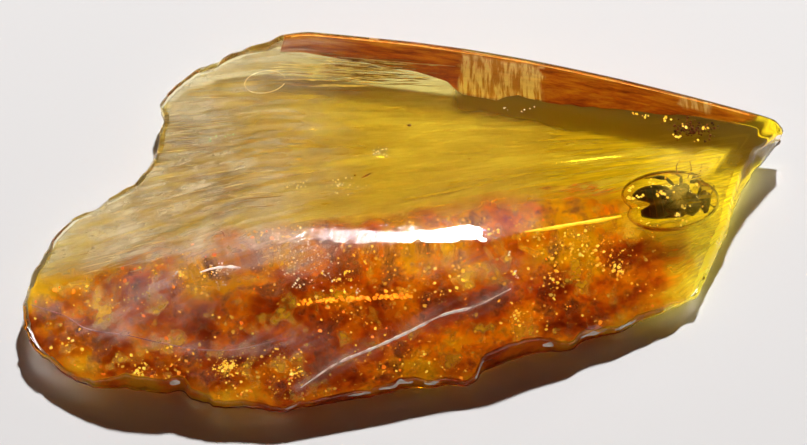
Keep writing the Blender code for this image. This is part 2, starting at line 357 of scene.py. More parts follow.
def to_object(name: str, points: np.ndarray, faces: list, smooth: bool = True) -> Piece:
    """Make an object from plan positions in millimetres.

    Args:
        name: Name of the piece.
        points: One row for each vertex.
        faces: Vertex numbers of each face.
        smooth: Whether the faces are shaded smooth.

    Returns:
        The new object, in metres in the frame.
    """
    placed = (np.asarray(points) + FORM.shift()) * MM
    mesh = bpy.data.meshes.new(name)
    mesh.from_pydata(placed.tolist(), [], faces)
    mesh.validate()
    mesh.update()
    if smooth:
        mesh.polygons.foreach_set("use_smooth", [True] * len(mesh.polygons))
    obj = bpy.data.objects.new(name, mesh)
    bpy.context.scene.collection.objects.link(obj)
    return obj


FORM = ChipForm()


@dataclass
class RingSheet:
    """Rings of points that shrink from an outline to the heart, halving as they go."""

    outline: np.ndarray
    spacing: float
    fewest: int = 48
    faces: list = field(default_factory=list)
    points: list = field(default_factory=list)

    def build(self) -> None:
        """Lay the rings and the faces between them, outermost ring first."""
        heart = np.array(FORM.heart)
        radius = np.linalg.norm(self.outline - heart, axis=1).max()
        ring_count = int(radius / self.spacing)
        start, previous = 0, None
        for step in range(ring_count):
            share = 1.0 - step / ring_count
            wanted = len(self.outline)
            while wanted > self.fewest and share < 0.5 * wanted / len(self.outline):
                wanted //= 2
            stride = len(self.outline) // wanted
            ring = heart + share * (self.outline[::stride] - heart)
            self.points.append(ring)
            if previous is not None:
                self.join(previous, start, wanted)
            previous = (start, wanted)
            start += wanted
        self.points.append(heart[None, :])
        first, number = previous
        self.faces += [(first + i, first + (i + 1) % number, start) for i in range(number)]
        LOG.debug("ring sheet of %d points", start + 1)

    def join(self, previous: tuple[int, int], start: int, wanted: int) -> None:
        """Add the faces between one ring and the next, which may have half its points.

        Args:
            previous: First point and size of the outer ring.
            start: First point of the inner ring.
            wanted: Size of the inner ring.
        """
        first, number = previous
        if number == wanted:
            for i in range(number):
                j = (i + 1) % number
                self.faces.append((first + i, first + j, start + j, start + i))
            return
        for i in range(wanted):
            a, b, c = 2 * i, 2 * i + 1, (2 * i + 2) % number
            inner, inner_next = start + i, start + (i + 1) % wanted
            self.faces.append((first + a, first + b, inner))
            self.faces.append((first + b, inner_next, inner))
            self.faces.append((first + b, first + c, inner_next))

    def plan(self) -> np.ndarray:
        """All the points, outermost ring first and the heart last."""
        return np.vstack(self.points)


def ellipsoid_points(radii: Point, across: int, along: int) -> tuple[np.ndarray, list]:
    """Closed oval about the origin, with its poles on X.

    Args:
        radii: Half sizes along X, Y and Z.
        across: Points round each ring.
        along: Rings between the poles.

    Returns:
        Vertex positions and faces that look outward.
    """
    points = [(-radii[0], 0.0, 0.0)]
    for ring in range(1, along):
        angle = math.pi * ring / along
        for step in range(across):
            turn = 2 * math.pi * step / across
            points.append((-radii[0] * math.cos(angle), radii[1] * math.sin(angle) * math.cos(turn),
                           radii[2] * math.sin(angle) * math.sin(turn)))
    points.append((radii[0], 0.0, 0.0))
    last = len(points) - 1
    faces = []
    for step in range(across):
        follow = (step + 1) % across
        faces.append((0, 1 + step, 1 + follow))
        base = 1 + (along - 2) * across
        faces.append((base + follow, base + step, last))
        for ring in range(along - 2):
            a = 1 + ring * across
            b = a + across
            faces.append((a + step, b + step, b + follow, a + follow))
    return np.array(points), faces


@dataclass
class Pile:
    """Points, faces and one number a point, gathered for one joined mesh."""

    points: list = field(default_factory=list)
    faces: list = field(default_factory=list)
    tones: list = field(default_factory=list)
    count: int = 0

    def add(self, mesh: Mesh, tone: float = 0.0) -> None:
        """Join one more closed form, with the same tone at all its points.

        Args:
            mesh: Vertex positions and faces.
            tone: Number to keep at each point.
        """
        points, faces = mesh
        self.points.append(np.asarray(points, float))
        self.faces += [tuple(index + self.count for index in face) for face in faces]
        self.tones.append(np.full(len(points), tone))
        self.count += len(points)

    def build(self, name: str, material: Material, smooth: bool = True) -> Piece:
        """Make the joined object and hang it on the chip.

        Args:
            name: Name of the piece.
            material: Its finish.
            smooth: Whether its faces are shaded smooth.

        Returns:
            The piece.
        """
        obj = to_object(name, np.vstack(self.points), self.faces, smooth)
        write_attribute(obj, "tone", np.concatenate(self.tones))
        obj.data.materials.append(material)
        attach(obj, "root")
        return obj


def write_attribute(obj: Piece, name: str, values: np.ndarray) -> None:
    """Keep one number for each vertex of a mesh."""
    layer = obj.data.attributes.new(name, "FLOAT", "POINT")
    layer.data.foreach_set("value", np.asarray(values, np.float32))


def smooth_path(knots: np.ndarray, per_span: int) -> np.ndarray:
    """Smooth line through a few knots, whose rows may carry a radius as well.

    Args:
        knots: Rows to run through.
        per_span: Steps between two rows.

    Returns:
        Rows of the smooth line.
    """
    padded = np.vstack([2 * knots[0] - knots[1], knots, 2 * knots[-1] - knots[-2]])
    rows = []
    for a, b, c, d in zip(padded, padded[1:], padded[2:], padded[3:]):
        for step in range(per_span):
            t = step / per_span
            rows.append(0.5 * (2 * b + (c - a) * t + (2 * a - 5 * b + 4 * c - d) * t ** 2
                               + (3 * b - a - 3 * c + d) * t ** 3))
    return np.array(rows + [knots[-1]])


def tube(knots: list, sides: int = 8, per_span: int = 4) -> Mesh:
    """Closed tapered tube with rounded ends.

    Args:
        knots: Rows of X, Y, Z and radius.
        sides: Points round the tube.
        per_span: Rings for each span between two knots.

    Returns:
        Vertex positions and faces that look outward.
    """
    path = smooth_path(np.array(knots, float), per_span)
    centres, radii = path[:, :3], np.maximum(path[:, 3], 0.004)
    tangents = np.gradient(centres, axis=0)
    tangents /= np.maximum(np.linalg.norm(tangents, axis=1), 1e-9)[:, None]
    side = np.cross(tangents[0], (0.0, 0.0, 1.0))
    if np.linalg.norm(side) < 0.2:
        side = np.cross(tangents[0], (0.0, 1.0, 0.0))
    angles = np.arange(sides) * 2 * math.pi / sides
    points = []
    for centre, radius, tangent in zip(centres, radii, tangents):
        side = side - tangent * np.dot(side, tangent)
        side /= np.linalg.norm(side)
        up = np.cross(tangent, side)
        points.append(centre + radius * (np.outer(np.cos(angles), side) + np.outer(np.sin(angles), up)))
    rings = len(points)
    ends = [centres[0] - tangents[0] * radii[0] * 0.6, centres[-1] + tangents[-1] * radii[-1] * 0.6]
    faces = ring_faces(rings, sides)
    first, last = rings * sides, rings * sides + 1
    for i in range(sides):
        j = (i + 1) % sides
        faces.append((first, j, i))
        faces.append((last, (rings - 1) * sides + i, (rings - 1) * sides + j))
    return np.vstack(points + ends), faces


def ring_faces(rings: int, sides: int) -> list:
    """Faces between rings that follow one another, seen from outside."""
    return [(ring * sides + i, ring * sides + (i + 1) % sides,
             (ring + 1) * sides + (i + 1) % sides, (ring + 1) * sides + i)
            for ring in range(rings - 1) for i in range(sides)]


def ball(centre: Point, radii: Point, across: int = 16, along: int = 12) -> Mesh:
    """Closed oval about a centre."""
    points, faces = ellipsoid_points(radii, across, along)
    return points + np.array(centre), faces


def flake(centre: np.ndarray, radius: float, thickness: float, rng: np.random.Generator) -> Mesh:
    """Thin irregular closed flake, tilted a little from level.

    Args:
        centre: Its middle.
        radius: Its largest radius.
        thickness: Its half thickness.
        rng: Random numbers.

    Returns:
        Vertex positions and faces.
    """
    corners = 6
    angles = (np.arange(corners) + rng.random(corners) * 0.6) * 2 * math.pi / corners
    spread = radius * (0.6 + 0.4 * rng.random(corners))
    ring = np.column_stack([np.cos(angles) * spread, np.sin(angles) * spread, np.zeros(corners)])
    points = np.vstack([ring, (0.0, 0.0, thickness), (0.0, 0.0, -thickness)])
    normal = Vector((rng.normal() * 0.35, rng.normal() * 0.35, 1.0))
    turned = points @ np.array(normal.to_track_quat("Z", "Y").to_matrix()).T
    faces = []
    for i in range(corners):
        j = (i + 1) % corners
        faces += [(i, j, corners), (j, i, corners + 1)]
    return turned + centre, faces


# ---- materials


class Recipe:
    """Short way to lay out the nodes of one material."""

    def __init__(self, name: str) -> None:
        """Start a material with a Principled shader.

        Args:
            name: Name of the material.
        """
        self.material = bpy.data.materials.new(name)
        self.material.use_nodes = True
        self.material.cycles.emission_sampling = "NONE"
        self.tree = self.material.node_tree
        self.shader = self.tree.nodes["Principled BSDF"]
        self.output = self.tree.nodes["Material Output"]

    def node(self, kind: str, **settings: object) -> bpy.types.Node:
        """Add a node and set what is named, properties first and then inputs.

        Args:
            kind: Type of the node.
            settings: Values by name, with _ for a space.

        Returns:
            The new node.
        """
        made = self.tree.nodes.new(kind)
        for key, value in settings.items():
            if hasattr(made, key):
                setattr(made, key, value)
            else:
                made.inputs[key.replace("_", " ")].default_value = value
        return made

    def link(self, source: Socket, target: Socket) -> None:
        """Join one socket to another."""
        self.tree.links.new(source, target)

    def set(self, **values: object) -> None:
        """Set sockets of the Principled shader by name, with _ for a space."""
        for key, value in values.items():
            self.shader.inputs[key.replace("_", " ")].default_value = value

    def feed(self, socket: str, source: Socket) -> None:
        """Join a socket to a named input of the shader."""
        self.link(source, self.shader.inputs[socket])

    def place(self, scale: Point = (1.0, 1.0, 1.0), turn: float = 0.0) -> Socket:
        """Object positions in millimetres, turned about Z and scaled.

        Args:
            scale: Stretch along each axis.
            turn: Turn about Z in degrees.

        Returns:
            The position.
        """
        where = self.node("ShaderNodeTexCoord")
        mapping = self.node("ShaderNodeMapping", Scale=tuple(s / MM for s in scale),
                            Rotation=(0.0, 0.0, math.radians(turn)))
        self.link(where.outputs["Object"], mapping.inputs["Vector"])
        return mapping.outputs["Vector"]

    def noise(self, vector: Socket, scale: float, detail: float = 4.0,
              roughness: float = 0.55) -> Socket:
        """Noise over a position.

        Args:
            vector: The position.
            scale: Cells for each millimetre.
            detail: Number of finer layers.
            roughness: Share of the finer layers.

        Returns:
            The noise, from 0 to 1.
        """
        made = self.node("ShaderNodeTexNoise", Scale=scale, Detail=detail, Roughness=roughness)
        self.link(vector, made.inputs["Vector"])
        return made.outputs["Fac"]

    def attribute(self, name: str) -> Socket:
        """Number kept for each vertex under a name."""
        return self.node("ShaderNodeAttribute", attribute_name=name).outputs["Fac"]

    def math(self, operation: str, *values: object) -> Socket:
        """Sum, product or other operation on sockets and numbers, kept within 0 and 1.

        Args:
            operation: Name of the operation.
            values: Sockets and numbers.

        Returns:
            The result.
        """
        made = self.node("ShaderNodeMath", operation=operation, use_clamp=True)
        for index, value in enumerate(values):
            if isinstance(value, (int, float)):
                made.inputs[index].default_value = value
            else:
                self.link(value, made.inputs[index])
        return made.outputs["Value"]

    def mix(self, share: Socket, first: object, second: object) -> Socket:
        """Blend of two colours, each given as a socket or as numbers.

        Args:
            share: Share of the second colour.
            first: First colour.
            second: Second colour.

        Returns:
            The blend.
        """
        made = self.node("ShaderNodeMix", data_type="RGBA")
        self.link(share, made.inputs["Factor"])
        for socket, value in ((made.inputs[6], first), (made.inputs[7], second)):
            if isinstance(value, tuple):
                socket.default_value = (*value, 1.0)
            else:
                self.link(value, socket)
        return made.outputs[2]

    def streaks(self, across: float, along: float, seed: float) -> Socket:
        """Fine streaks that run to the fan point, from the attributes fan and reach.

        Args:
            across: Cells for each millimetre across the streaks.
            along: Cells for each millimetre along them.
            seed: Number that picks the pattern.

        Returns:
            The streaks, from 0 to 1.
        """
        joined = self.node("ShaderNodeCombineXYZ", Z=seed)
        for name, axis, scale in (("fan", "X", across), ("reach", "Y", along)):
            stretched = self.node("ShaderNodeMath", operation="MULTIPLY")
            stretched.inputs[1].default_value = scale
            self.link(self.attribute(name), stretched.inputs[0])
            self.link(stretched.outputs["Value"], joined.inputs[axis])
        return self.noise(joined.outputs["Vector"], 1.0, 5.0)

    def ramp(self, factor: Socket, stops: list) -> Socket:
        """Colour ramp through (place, colour) stops.

        Args:
            factor: Value to colour.
            stops: Place and colour of each stop.

        Returns:
            The colour.
        """
        made = self.node("ShaderNodeValToRGB")
        while len(made.color_ramp.elements) < len(stops):
            made.color_ramp.elements.new(0.5)
        for element, (place, colour) in zip(made.color_ramp.elements, stops):
            element.position = place
            element.color = (*colour, 1.0)
        self.link(factor, made.inputs["Fac"])
        return made.outputs["Color"]

    def bump(self, height: Socket, strength: float, distance: float) -> None:
        """Small relief on the shader's normal, its distance in millimetres.

        Args:
            height: The relief, from 0 to 1.
            strength: Share of its effect.
            distance: Its height in millimetres.
        """
        made = self.node("ShaderNodeBump", Strength=strength, Distance=distance * MM)
        self.link(height, made.inputs["Height"])
        self.feed("Normal", made.outputs["Normal"])


@dataclass(frozen=True)
class ClearAmberFinish:
    """Clear golden amber that takes out blue and green with depth."""

    absorbed: Colour = (0.972, 0.872, 0.0)
    density: float = 420.0
    ior: float = 1.54
    roughness: float = 0.02
    coat: float = 0.06
    coat_roughness: float = 0.12

    def material(self) -> Material:
        """Build the material.

        Returns:
            The new material.
        """
        recipe = Recipe("clear_amber")
        recipe.set(Base_Color=(1.0, 1.0, 1.0, 1.0), Roughness=self.roughness, IOR=self.ior,
                   Transmission_Weight=1.0, Coat_Weight=self.coat, Coat_Roughness=self.coat_roughness)
        worn = recipe.math("MULTIPLY", recipe.streaks(2.2, 0.9, 3.0), recipe.attribute("worn"))
        recipe.bump(worn, 0.8, 0.06)
        volume = recipe.node("ShaderNodeVolumeAbsorption", Color=(*self.absorbed, 1.0),
                             Density=self.density)
        recipe.link(volume.outputs["Volume"], recipe.output.inputs["Volume"])
        return recipe.material


@dataclass(frozen=True)
class VeilFinish:
    """Veils of fine straw streaks just over the underside, with painted olive shade over the back foot and
    a painted golden glow.
    """

    straw: Colour = (0.86, 0.72, 0.32)
    straw_dark: Colour = (0.56, 0.38, 0.11)
    gold: Colour = (0.96, 0.86, 0.10)
    # colour of the painted shade over the back foot
    painted_olive_shade: Colour = (0.40, 0.31, 0.06)
    thin: float = 0.10
    thick: float = 0.88
    # strength of the painted golden glow
    glow: float = 0.42

    def material(self) -> Material:
        """Build the material.

        Returns:
            The new material.
        """
        recipe = Recipe("straw_veil")
        fine = recipe.streaks(3.2, 0.22, 1.0)
        broad = recipe.streaks(0.9, 0.12, 5.0)
        straw = recipe.mix(recipe.ramp(fine, [(0.38, (0.0,) * 3), (0.6, (1.0,) * 3)]), self.straw_dark,
                           self.straw)
        table = recipe.mix(recipe.attribute("gold"), straw, self.gold)
        # painted shade: olive over the back foot, where the chip only looks dark
        shaded = recipe.mix(recipe.attribute("painted_olive_shade"), table, self.painted_olive_shade)
        recipe.feed("Base Color", shaded)
        # painted light: golden glow where lit is set, less under the painted shade
        lit = recipe.math("SUBTRACT", recipe.attribute("lit"), recipe.attribute("painted_olive_shade"))
        recipe.feed("Emission Color", recipe.mix(lit, (0.0, 0.0, 0.0), self.gold))
        cover = recipe.ramp(recipe.math("ADD", recipe.math("MULTIPLY", fine, 0.55),
                                        recipe.math("MULTIPLY", broad, 0.45)),
                            [(0.40, (self.thin,) * 3), (0.62, (self.thick,) * 3)])
        veil = recipe.math("MULTIPLY", cover, recipe.attribute("veil"))
        # the painted shade is nearly opaque
        shade = recipe.math("MULTIPLY", recipe.attribute("painted_olive_shade"), 0.85)
        recipe.feed("Alpha", recipe.math("MAXIMUM", veil, shade))
        recipe.set(Roughness=0.55, Specular_IOR_Level=0.3, Emission_Strength=self.glow)
        return recipe.material


@dataclass(frozen=True)
class CrustFinish:
    """Red-brown crust of the front that lets some red light through."""

    dark: Colour = (0.30, 0.030, 0.004)
    red: Colour = (0.62, 0.105, 0.008)
    orange: Colour = (0.96, 0.34, 0.010)
    gold: Colour = (1.0, 0.64, 0.03)
    transmission: float = 0.35
    ior: float = 1.02

    def material(self) -> Material:
        """Build the material.

        Returns:
            The new material.
        """
        recipe = Recipe("weathered_crust")
        where = recipe.place()
        clouds = recipe.math("MULTIPLY", recipe.noise(where, 0.5, 3.0, 0.55), 0.82)
        grains = recipe.math("MULTIPLY", recipe.noise(where, 3.0, 4.0, 0.6), 0.18)
        mottle = recipe.math("ADD", clouds, grains)
        tone = recipe.math("ADD", mottle, recipe.attribute("warmth"))
        recipe.feed("Base Color", recipe.ramp(tone, [(0.34, self.dark), (0.46, self.red),
                                                     (0.58, self.orange), (0.72, self.gold)]))
        holes = recipe.ramp(recipe.noise(where, 1.7, 5.0, 0.6), [(0.36, (0.75,) * 3), (0.48, (0.98,) * 3)])
        edge = recipe.ramp(recipe.math("ADD", recipe.attribute("crust"), recipe.math(
            "MULTIPLY", recipe.math("SUBTRACT", recipe.streaks(2.4, 0.4, 7.0), 0.5), 0.7)),
            [(0.10, (0.0,) * 3), (0.95, (1.0,) * 3)])
        recipe.feed("Alpha", recipe.math("MULTIPLY", holes, edge))
        recipe.set(Roughness=0.6, Specular_IOR_Level=0.2, Transmission_Weight=self.transmission,
                   IOR=self.ior)
        return recipe.material


@dataclass(frozen=True)
class CloudFinish:
    """Thin clouds of brown and gold that hang in the front of the chip."""

    brown: Colour = (0.30, 0.035, 0.004)
    orange: Colour = (0.90, 0.26, 0.010)
    gold: Colour = (1.0, 0.66, 0.05)
    cover: float = 0.62

    def material(self) -> Material:
        """Build the material.

        Returns:
            The new material.
        """
        recipe = Recipe("hanging_cloud")
        where = recipe.place()
        tone = recipe.noise(where, 0.8, 3.0, 0.55)
        recipe.feed("Base Color", recipe.ramp(tone, [(0.38, self.brown), (0.50, self.orange),
                                                     (0.64, self.gold)]))
        rims = recipe.ramp(tone, [(0.34, (self.cover,) * 3), (0.47, (0.0,) * 3), (0.54, (0.0,) * 3),
                                  (0.68, (self.cover,) * 3)])
        grain = recipe.ramp(recipe.noise(where, 3.0, 4.0, 0.6), [(0.38, (0.55,) * 3), (0.62, (1.0,) * 3)])
        cover = recipe.math("MULTIPLY", recipe.math("MULTIPLY", rims, grain), recipe.attribute("crust"))
        recipe.feed("Alpha", cover)
        recipe.set(Roughness=0.5)
        return recipe.material


@dataclass(frozen=True)
class FilmFinish:
    """Dull film under the upper surface: milky left, pinkish worn crest with painted sheen, and honey right
    flank.
    """

    milk: Colour = (0.82, 0.70, 0.46)
    pink_wear_and_sheen: Colour = (0.84, 0.62, 0.54)
    honey: Colour = (1.0, 0.74, 0.06)

    def material(self) -> Material:
        """Build the material.

        Returns:
            The new material.
        """
        recipe = Recipe("worn_film")
        where = recipe.place()
        lines = recipe.streaks(5.0, 0.30, 9.0)
        line = recipe.ramp(lines, [(0.40, (0.25,) * 3), (0.62, (1.0,) * 3)])
        worn = recipe.mix(recipe.attribute("pink_wear_and_sheen"), self.milk, self.pink_wear_and_sheen)
        recipe.feed("Base Color", recipe.mix(recipe.attribute("honey"), worn, self.honey))
        cloud = recipe.ramp(recipe.noise(where, 0.8, 5.0), [(0.36, (0.35,) * 3), (0.62, (1.0,) * 3)])
        film = recipe.math("MULTIPLY", recipe.math("MULTIPLY", cloud, line), recipe.attribute("film"))
        recipe.feed("Alpha", film)
        recipe.set(Roughness=0.5, Specular_IOR_Level=0.3)
        return recipe.material


@dataclass(frozen=True)
class BandFinish:
    """Painted red-brown reflection on the polished back, glowing a little, with lengthwise clouds and a
    pale, cross-scratched patch.
    """

    dark: Colour = (0.26, 0.035, 0.003)
    middle: Colour = (0.56, 0.14, 0.008)
    light: Colour = (0.84, 0.38, 0.03)
    pale: Colour = (1.0, 0.84, 0.46)
    pale_dark: Colour = (0.62, 0.30, 0.06)
    glow: float = 0.22

    def material(self) -> Material:
        """Build the material.

        Returns:
            The new material.
        """
        recipe = Recipe("painted_back_reflection")
        clouds = recipe.noise(recipe.place((0.35, 1.0, 1.6)), 1.3, 6.0, 0.7)
        # painted reflection, a little lighter towards the rim
        tone = recipe.math("ADD", clouds, recipe.math("MULTIPLY", recipe.attribute("level"), 0.07))
        red = recipe.ramp(tone, [(0.38, self.dark), (0.52, self.middle), (0.68, self.light)])
        scratches = recipe.noise(recipe.place((5.5, 0.8, 0.5), 8.0), 1.0, 3.0)
        pale = recipe.ramp(scratches, [(0.42, self.pale_dark), (0.56, self.pale)])
        colour = recipe.mix(recipe.attribute("scrape"), red, pale)
        recipe.feed("Base Color", colour)
        # painted light: the band glows in its own colour
        recipe.feed("Emission Color", colour)
        cover = recipe.ramp(clouds, [(0.4, (0.94,) * 3), (0.66, (0.76,) * 3)])
        recipe.feed("Alpha", recipe.math("MULTIPLY", cover, recipe.attribute("kept")))
        recipe.set(Roughness=0.5, Emission_Strength=self.glow)
        return recipe.material


@dataclass(frozen=True)
class SpecFinish:
    """Finish of a small inclusion, with a soft change of tone from place to place, and a painted glow in
    the same colour when glow is set.
    """

    name: str
    dark: Colour
    light: Colour
    roughness: float = 0.35
    glow: float = 0.0

    def material(self) -> Material:
        """Build the material.

        Returns:
            The new material.
        """
        recipe = Recipe(self.name)
        tone = recipe.noise(recipe.place(), 2.5, 4.0)
        colour = recipe.ramp(tone, [(0.35, self.dark), (0.65, self.light)])
        recipe.feed("Base Color", colour)
        recipe.set(Roughness=self.roughness)
        # painted light: the inclusion glows in its own colour
        if self.glow:
            recipe.feed("Emission Color", colour)
            recipe.set(Emission_Strength=self.glow)
        return recipe.material


@dataclass(frozen=True)
class CuticleFinish:
    """Glossy brown-black cuticle with a green sheen and golden-brown plate edges."""

    name: str = "dark_cuticle_finish"
    dark: Colour = (0.018, 0.014, 0.008)
    green: Colour = (0.045, 0.050, 0.018)
    edge: Colour = (0.50, 0.27, 0.05)
    roughness: float = 0.28

    def material(self) -> Material:
        """Build the material.

        Returns:
            The new material.
        """
        recipe = Recipe(self.name)
        where = recipe.place()
        cloud = recipe.ramp(recipe.noise(where, 3.0, 5.0), [(0.40, self.dark), (0.62, self.green)])
        recipe.feed("Base Color", recipe.mix(recipe.attribute("tone"), cloud, self.edge))
        recipe.set(Roughness=self.roughness, Coat_Weight=0.5, Coat_Roughness=0.12)
        recipe.bump(recipe.noise(where, 26.0, 3.0), 0.35, 0.012)
        return recipe.material


@dataclass(frozen=True)
class CapsuleFinish:
    """Clear honey-coloured film with faint wrinkles."""

    honey: Colour = (1.0, 0.95, 0.72)
    pale: Colour = (1.0, 1.0, 0.94)
    ior: float = 1.16
    roughness: float = 0.03

    def material(self) -> Material:
        """Build the material.

        Returns:
            The new material.
        """
        recipe = Recipe("capsule_film")
        where = recipe.place()
        tone = recipe.noise(where, 1.4, 4.0)
        recipe.feed("Base Color", recipe.ramp(tone, [(0.38, self.honey), (0.6, self.pale)]))
        recipe.set(Roughness=self.roughness, Transmission_Weight=1.0, IOR=self.ior)
        recipe.bump(recipe.noise(where, 3.5, 3.0), 0.5, 0.03)
        return recipe.material


@dataclass(frozen=True)
class WingFinish:
    """Smoky brown wing film."""

    film: Colour = (0.20, 0.13, 0.05)
    smoke: Colour = (0.07, 0.045, 0.02)

    def material(self) -> Material:
        """Build the material.

        Returns:
            The new material.
        """
        recipe = Recipe("smoky_wing")
        where = recipe.place()
        tone = recipe.noise(where, 2.2, 4.0)
        recipe.feed("Base Color", recipe.ramp(tone, [(0.35, self.smoke), (0.65, self.film)]))
        recipe.feed("Alpha", recipe.ramp(tone, [(0.35, (0.8,) * 3), (0.65, (0.55,) * 3)]))
        recipe.set(Roughness=0.25)
        recipe.bump(recipe.noise(where, 9.0, 3.0), 0.4, 0.02)
        return recipe.material


# ---- pieces


@dataclass
class ClearAmber:
    """The clear chip in one piece."""

    around: int = 768
    spacing: float = 0.166
    wall_rows: int = 8
    broken_lean: float = 0.03
    lean_reach: int = 9
    least_wall: float = 0.2
    bulge: float = 0.12
    worn_left: Pair = (-10.5, -7.5)
    worn_right: Pair = (1.2, -1.5)
    worn_front: Pair = (-6.0, -4.6)
    worn_back: Pair = (-2.4, -3.4)
    worn_level: float = 3.0
    finish: ClearAmberFinish = ClearAmberFinish()

    def build(self) -> Piece:
        """Make the upper surface, wall and underside as one mesh.

        Returns:
            The piece.
        """
        rim = FORM.outline(self.around)
        upper = RingSheet(rim, self.spacing)
        upper.build()
        plan = upper.plan()
        top = self.upper_relief(plan)
        back = FORM.polished_back(rim)
        rim_top = top[: self.around]
        inward = FORM.inward(rim)
        lean = (FORM.wall_lean * np.maximum(rim_top - FORM.wall_foot, 0.0) * back
                + self.broken_lean * (1 - back))
        lean = ring_average(lean, self.lean_reach)
        foot = rim + ring_average(inward, self.lean_reach) * lean[:, None]
        foot_height = np.minimum(FORM.base(foot[:, 0], foot[:, 1]), rim_top - self.least_wall)
        lower = RingSheet(foot, self.spacing * 2.0)
        lower.build()
        under = lower.plan()
        under_height = self.lower_relief(under)
        under_height[: self.around] = foot_height
        points = [np.column_stack([plan, top])]
        faces = [tuple(face) for face in upper.faces]
        start = len(plan)
        previous = 0
        for row in range(1, self.wall_rows):
            share = row / self.wall_rows
            bulge = (smooth_noise(rim[:, 0] * 2 + row, rim[:, 1] * 2, 0.7, 21) - 0.2) * self.bulge
            inset = lean * share + bulge * math.sin(math.pi * share) * (1 - back)
            ring = rim + inward * np.maximum(inset, 0.0)[:, None]
            height = rim_top + (foot_height - rim_top) * share
            points.append(np.column_stack([ring, height]))
            faces += self.strip(previous, start)
            previous = start
            start += self.around
        points.append(np.column_stack([under, under_height]))
        faces += self.strip(previous, start)
        faces += [tuple(index + start for index in reversed(face)) for face in lower.faces]
        obj = to_object("amber_clear", np.vstack(points), faces)
        self.note_wear(obj, np.vstack(points))
        obj.data.materials.append(self.finish.material())
        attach(obj, "root")
        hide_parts("amber_lower", "amber_upper")
        return obj

    def note_wear(self, obj: Piece, points: np.ndarray) -> None:
        """Keep the place along the streaks and the share of wear at each vertex.

        Args:
            obj: Object to write to.
            points: Its vertex positions in the plan.
        """
        x, y, z = points.T
        turn, reach = fan(x, y)
        along = smooth_step(*self.worn_left, x) * smooth_step(*self.worn_right, x)
        across = smooth_step(*self.worn_front, y) * smooth_step(*self.worn_back, y)
        worn = along * across * (z > self.worn_level)
        for name, values in (("fan", turn), ("reach", reach), ("worn", worn)):
            write_attribute(obj, name, values)

    def strip(self, upper: int, lower: int) -> list:
        """Faces of the wall between two rings of the outline."""
        count = self.around
        return [(upper + i, lower + i, lower + (i + 1) % count, upper + (i + 1) % count)
                for i in range(count)]

    @staticmethod
    def upper_relief(plan: np.ndarray) -> np.ndarray:
        """Heights of the upper surface with its fine relief.

        Args:
            plan: Plan positions.

        Returns:
            The heights.
        """
        x, y = plan[:, 0], plan[:, 1]
        surface = FORM.top(x, y)
        front = smooth_step(-3.4, -5.0, y - 0.1 * x)
        surface -= layered_noise(x, y, RIPPLES) * front
        return np.maximum(surface, FORM.base(x, y) + 0.3)

    @staticmethod
    def lower_relief(plan: np.ndarray) -> np.ndarray:
        """Heights of the underside with its fine relief.

        Args:
            plan: Plan positions.

        Returns:
            The heights.
        """
        x, y = plan[:, 0], plan[:, 1]
        turn, reach = fan(x, y)
        hackle = smooth_noise(turn, reach / 18.0, 0.33, 42) * 0.022 * smooth_step(12.0, 9.0, x)
        return FORM.base(x, y) + smooth_noise(x, y, 0.8, 41) * 0.02 + hackle


@dataclass
class InnerSheet:
    """Thin closed sheet inside the amber that follows one of its surfaces."""

    name: str
    material: Material
    around: int = 448
    spacing: float = 0.2
    inset: float = 0.982
    thickness: float = 0.015

    def plan(self) -> tuple[np.ndarray, list]:
        """Plan positions and faces of the sheet's upper side.

        Returns:
            The positions and the faces.
        """
        rim = FORM.outline(self.around)
        heart = np.array(FORM.heart)
        rings = RingSheet(heart + (rim - heart) * self.inset, self.spacing)
        rings.build()
        return rings.plan(), rings.faces

    def build(self, plan: np.ndarray, faces: list, height: np.ndarray, values: dict[str, np.ndarray],
              kept: np.ndarray) -> Piece:
        """Make the sheet.

        Args:
            plan: Plan positions of one side.
            faces: Faces of the upper side.
            height: Height of each position.
            values: Numbers to keep for each position, by name.
            kept: Whether each position belongs to the sheet.

        Returns:
            The sheet's object.
        """
        faces = [face for face in faces if kept[list(face)].any()]
        used = np.unique(np.concatenate([np.array(face) for face in faces]))
        renumber = np.zeros(len(plan), int)
        renumber[used] = np.arange(len(used))
        faces = [tuple(int(renumber[index]) for index in face) for face in faces]
        plan, height = plan[used], height[used]
        count = len(plan)
        upper = np.column_stack([plan, height + self.thickness / 2])
        lower = np.column_stack([plan, height - self.thickness / 2])
        sides = {(a, b) for face in faces for a, b in zip(face, face[1:] + face[:1])}
        closed = faces + [tuple(index + count for index in reversed(face)) for face in faces]
        closed += [(b, a, a + count, b + count) for a, b in sorted(sides) if (b, a) not in sides]
        obj = to_object(self.name, np.vstack([upper, lower]), closed)
        turn, reach = fan(plan[:, 0], plan[:, 1])
        for name, value in {"fan": turn, "reach": reach}.items():
            write_attribute(obj, name, np.tile(value, 2))
        for name, value in values.items():
            write_attribute(obj, name, np.tile(value[used], 2))
        obj.data.materials.append(self.material)
        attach(obj, "root")
        return obj


def glow(x: np.ndarray, y: np.ndarray, places: tuple) -> np.ndarray:
    """Sum of soft round places, each given as centre, half widths and amount.

    Args:
        x: Plan X.
        y: Plan Y.
        places: The round places.

    Returns:
        The sums.
    """
    total = np.zeros_like(x)
    for (cx, cy), (wide, deep), amount in places:
        total += amount * np.exp(-((x - cx) / wide) ** 2 - ((y - cy) / deep) ** 2)
    return total


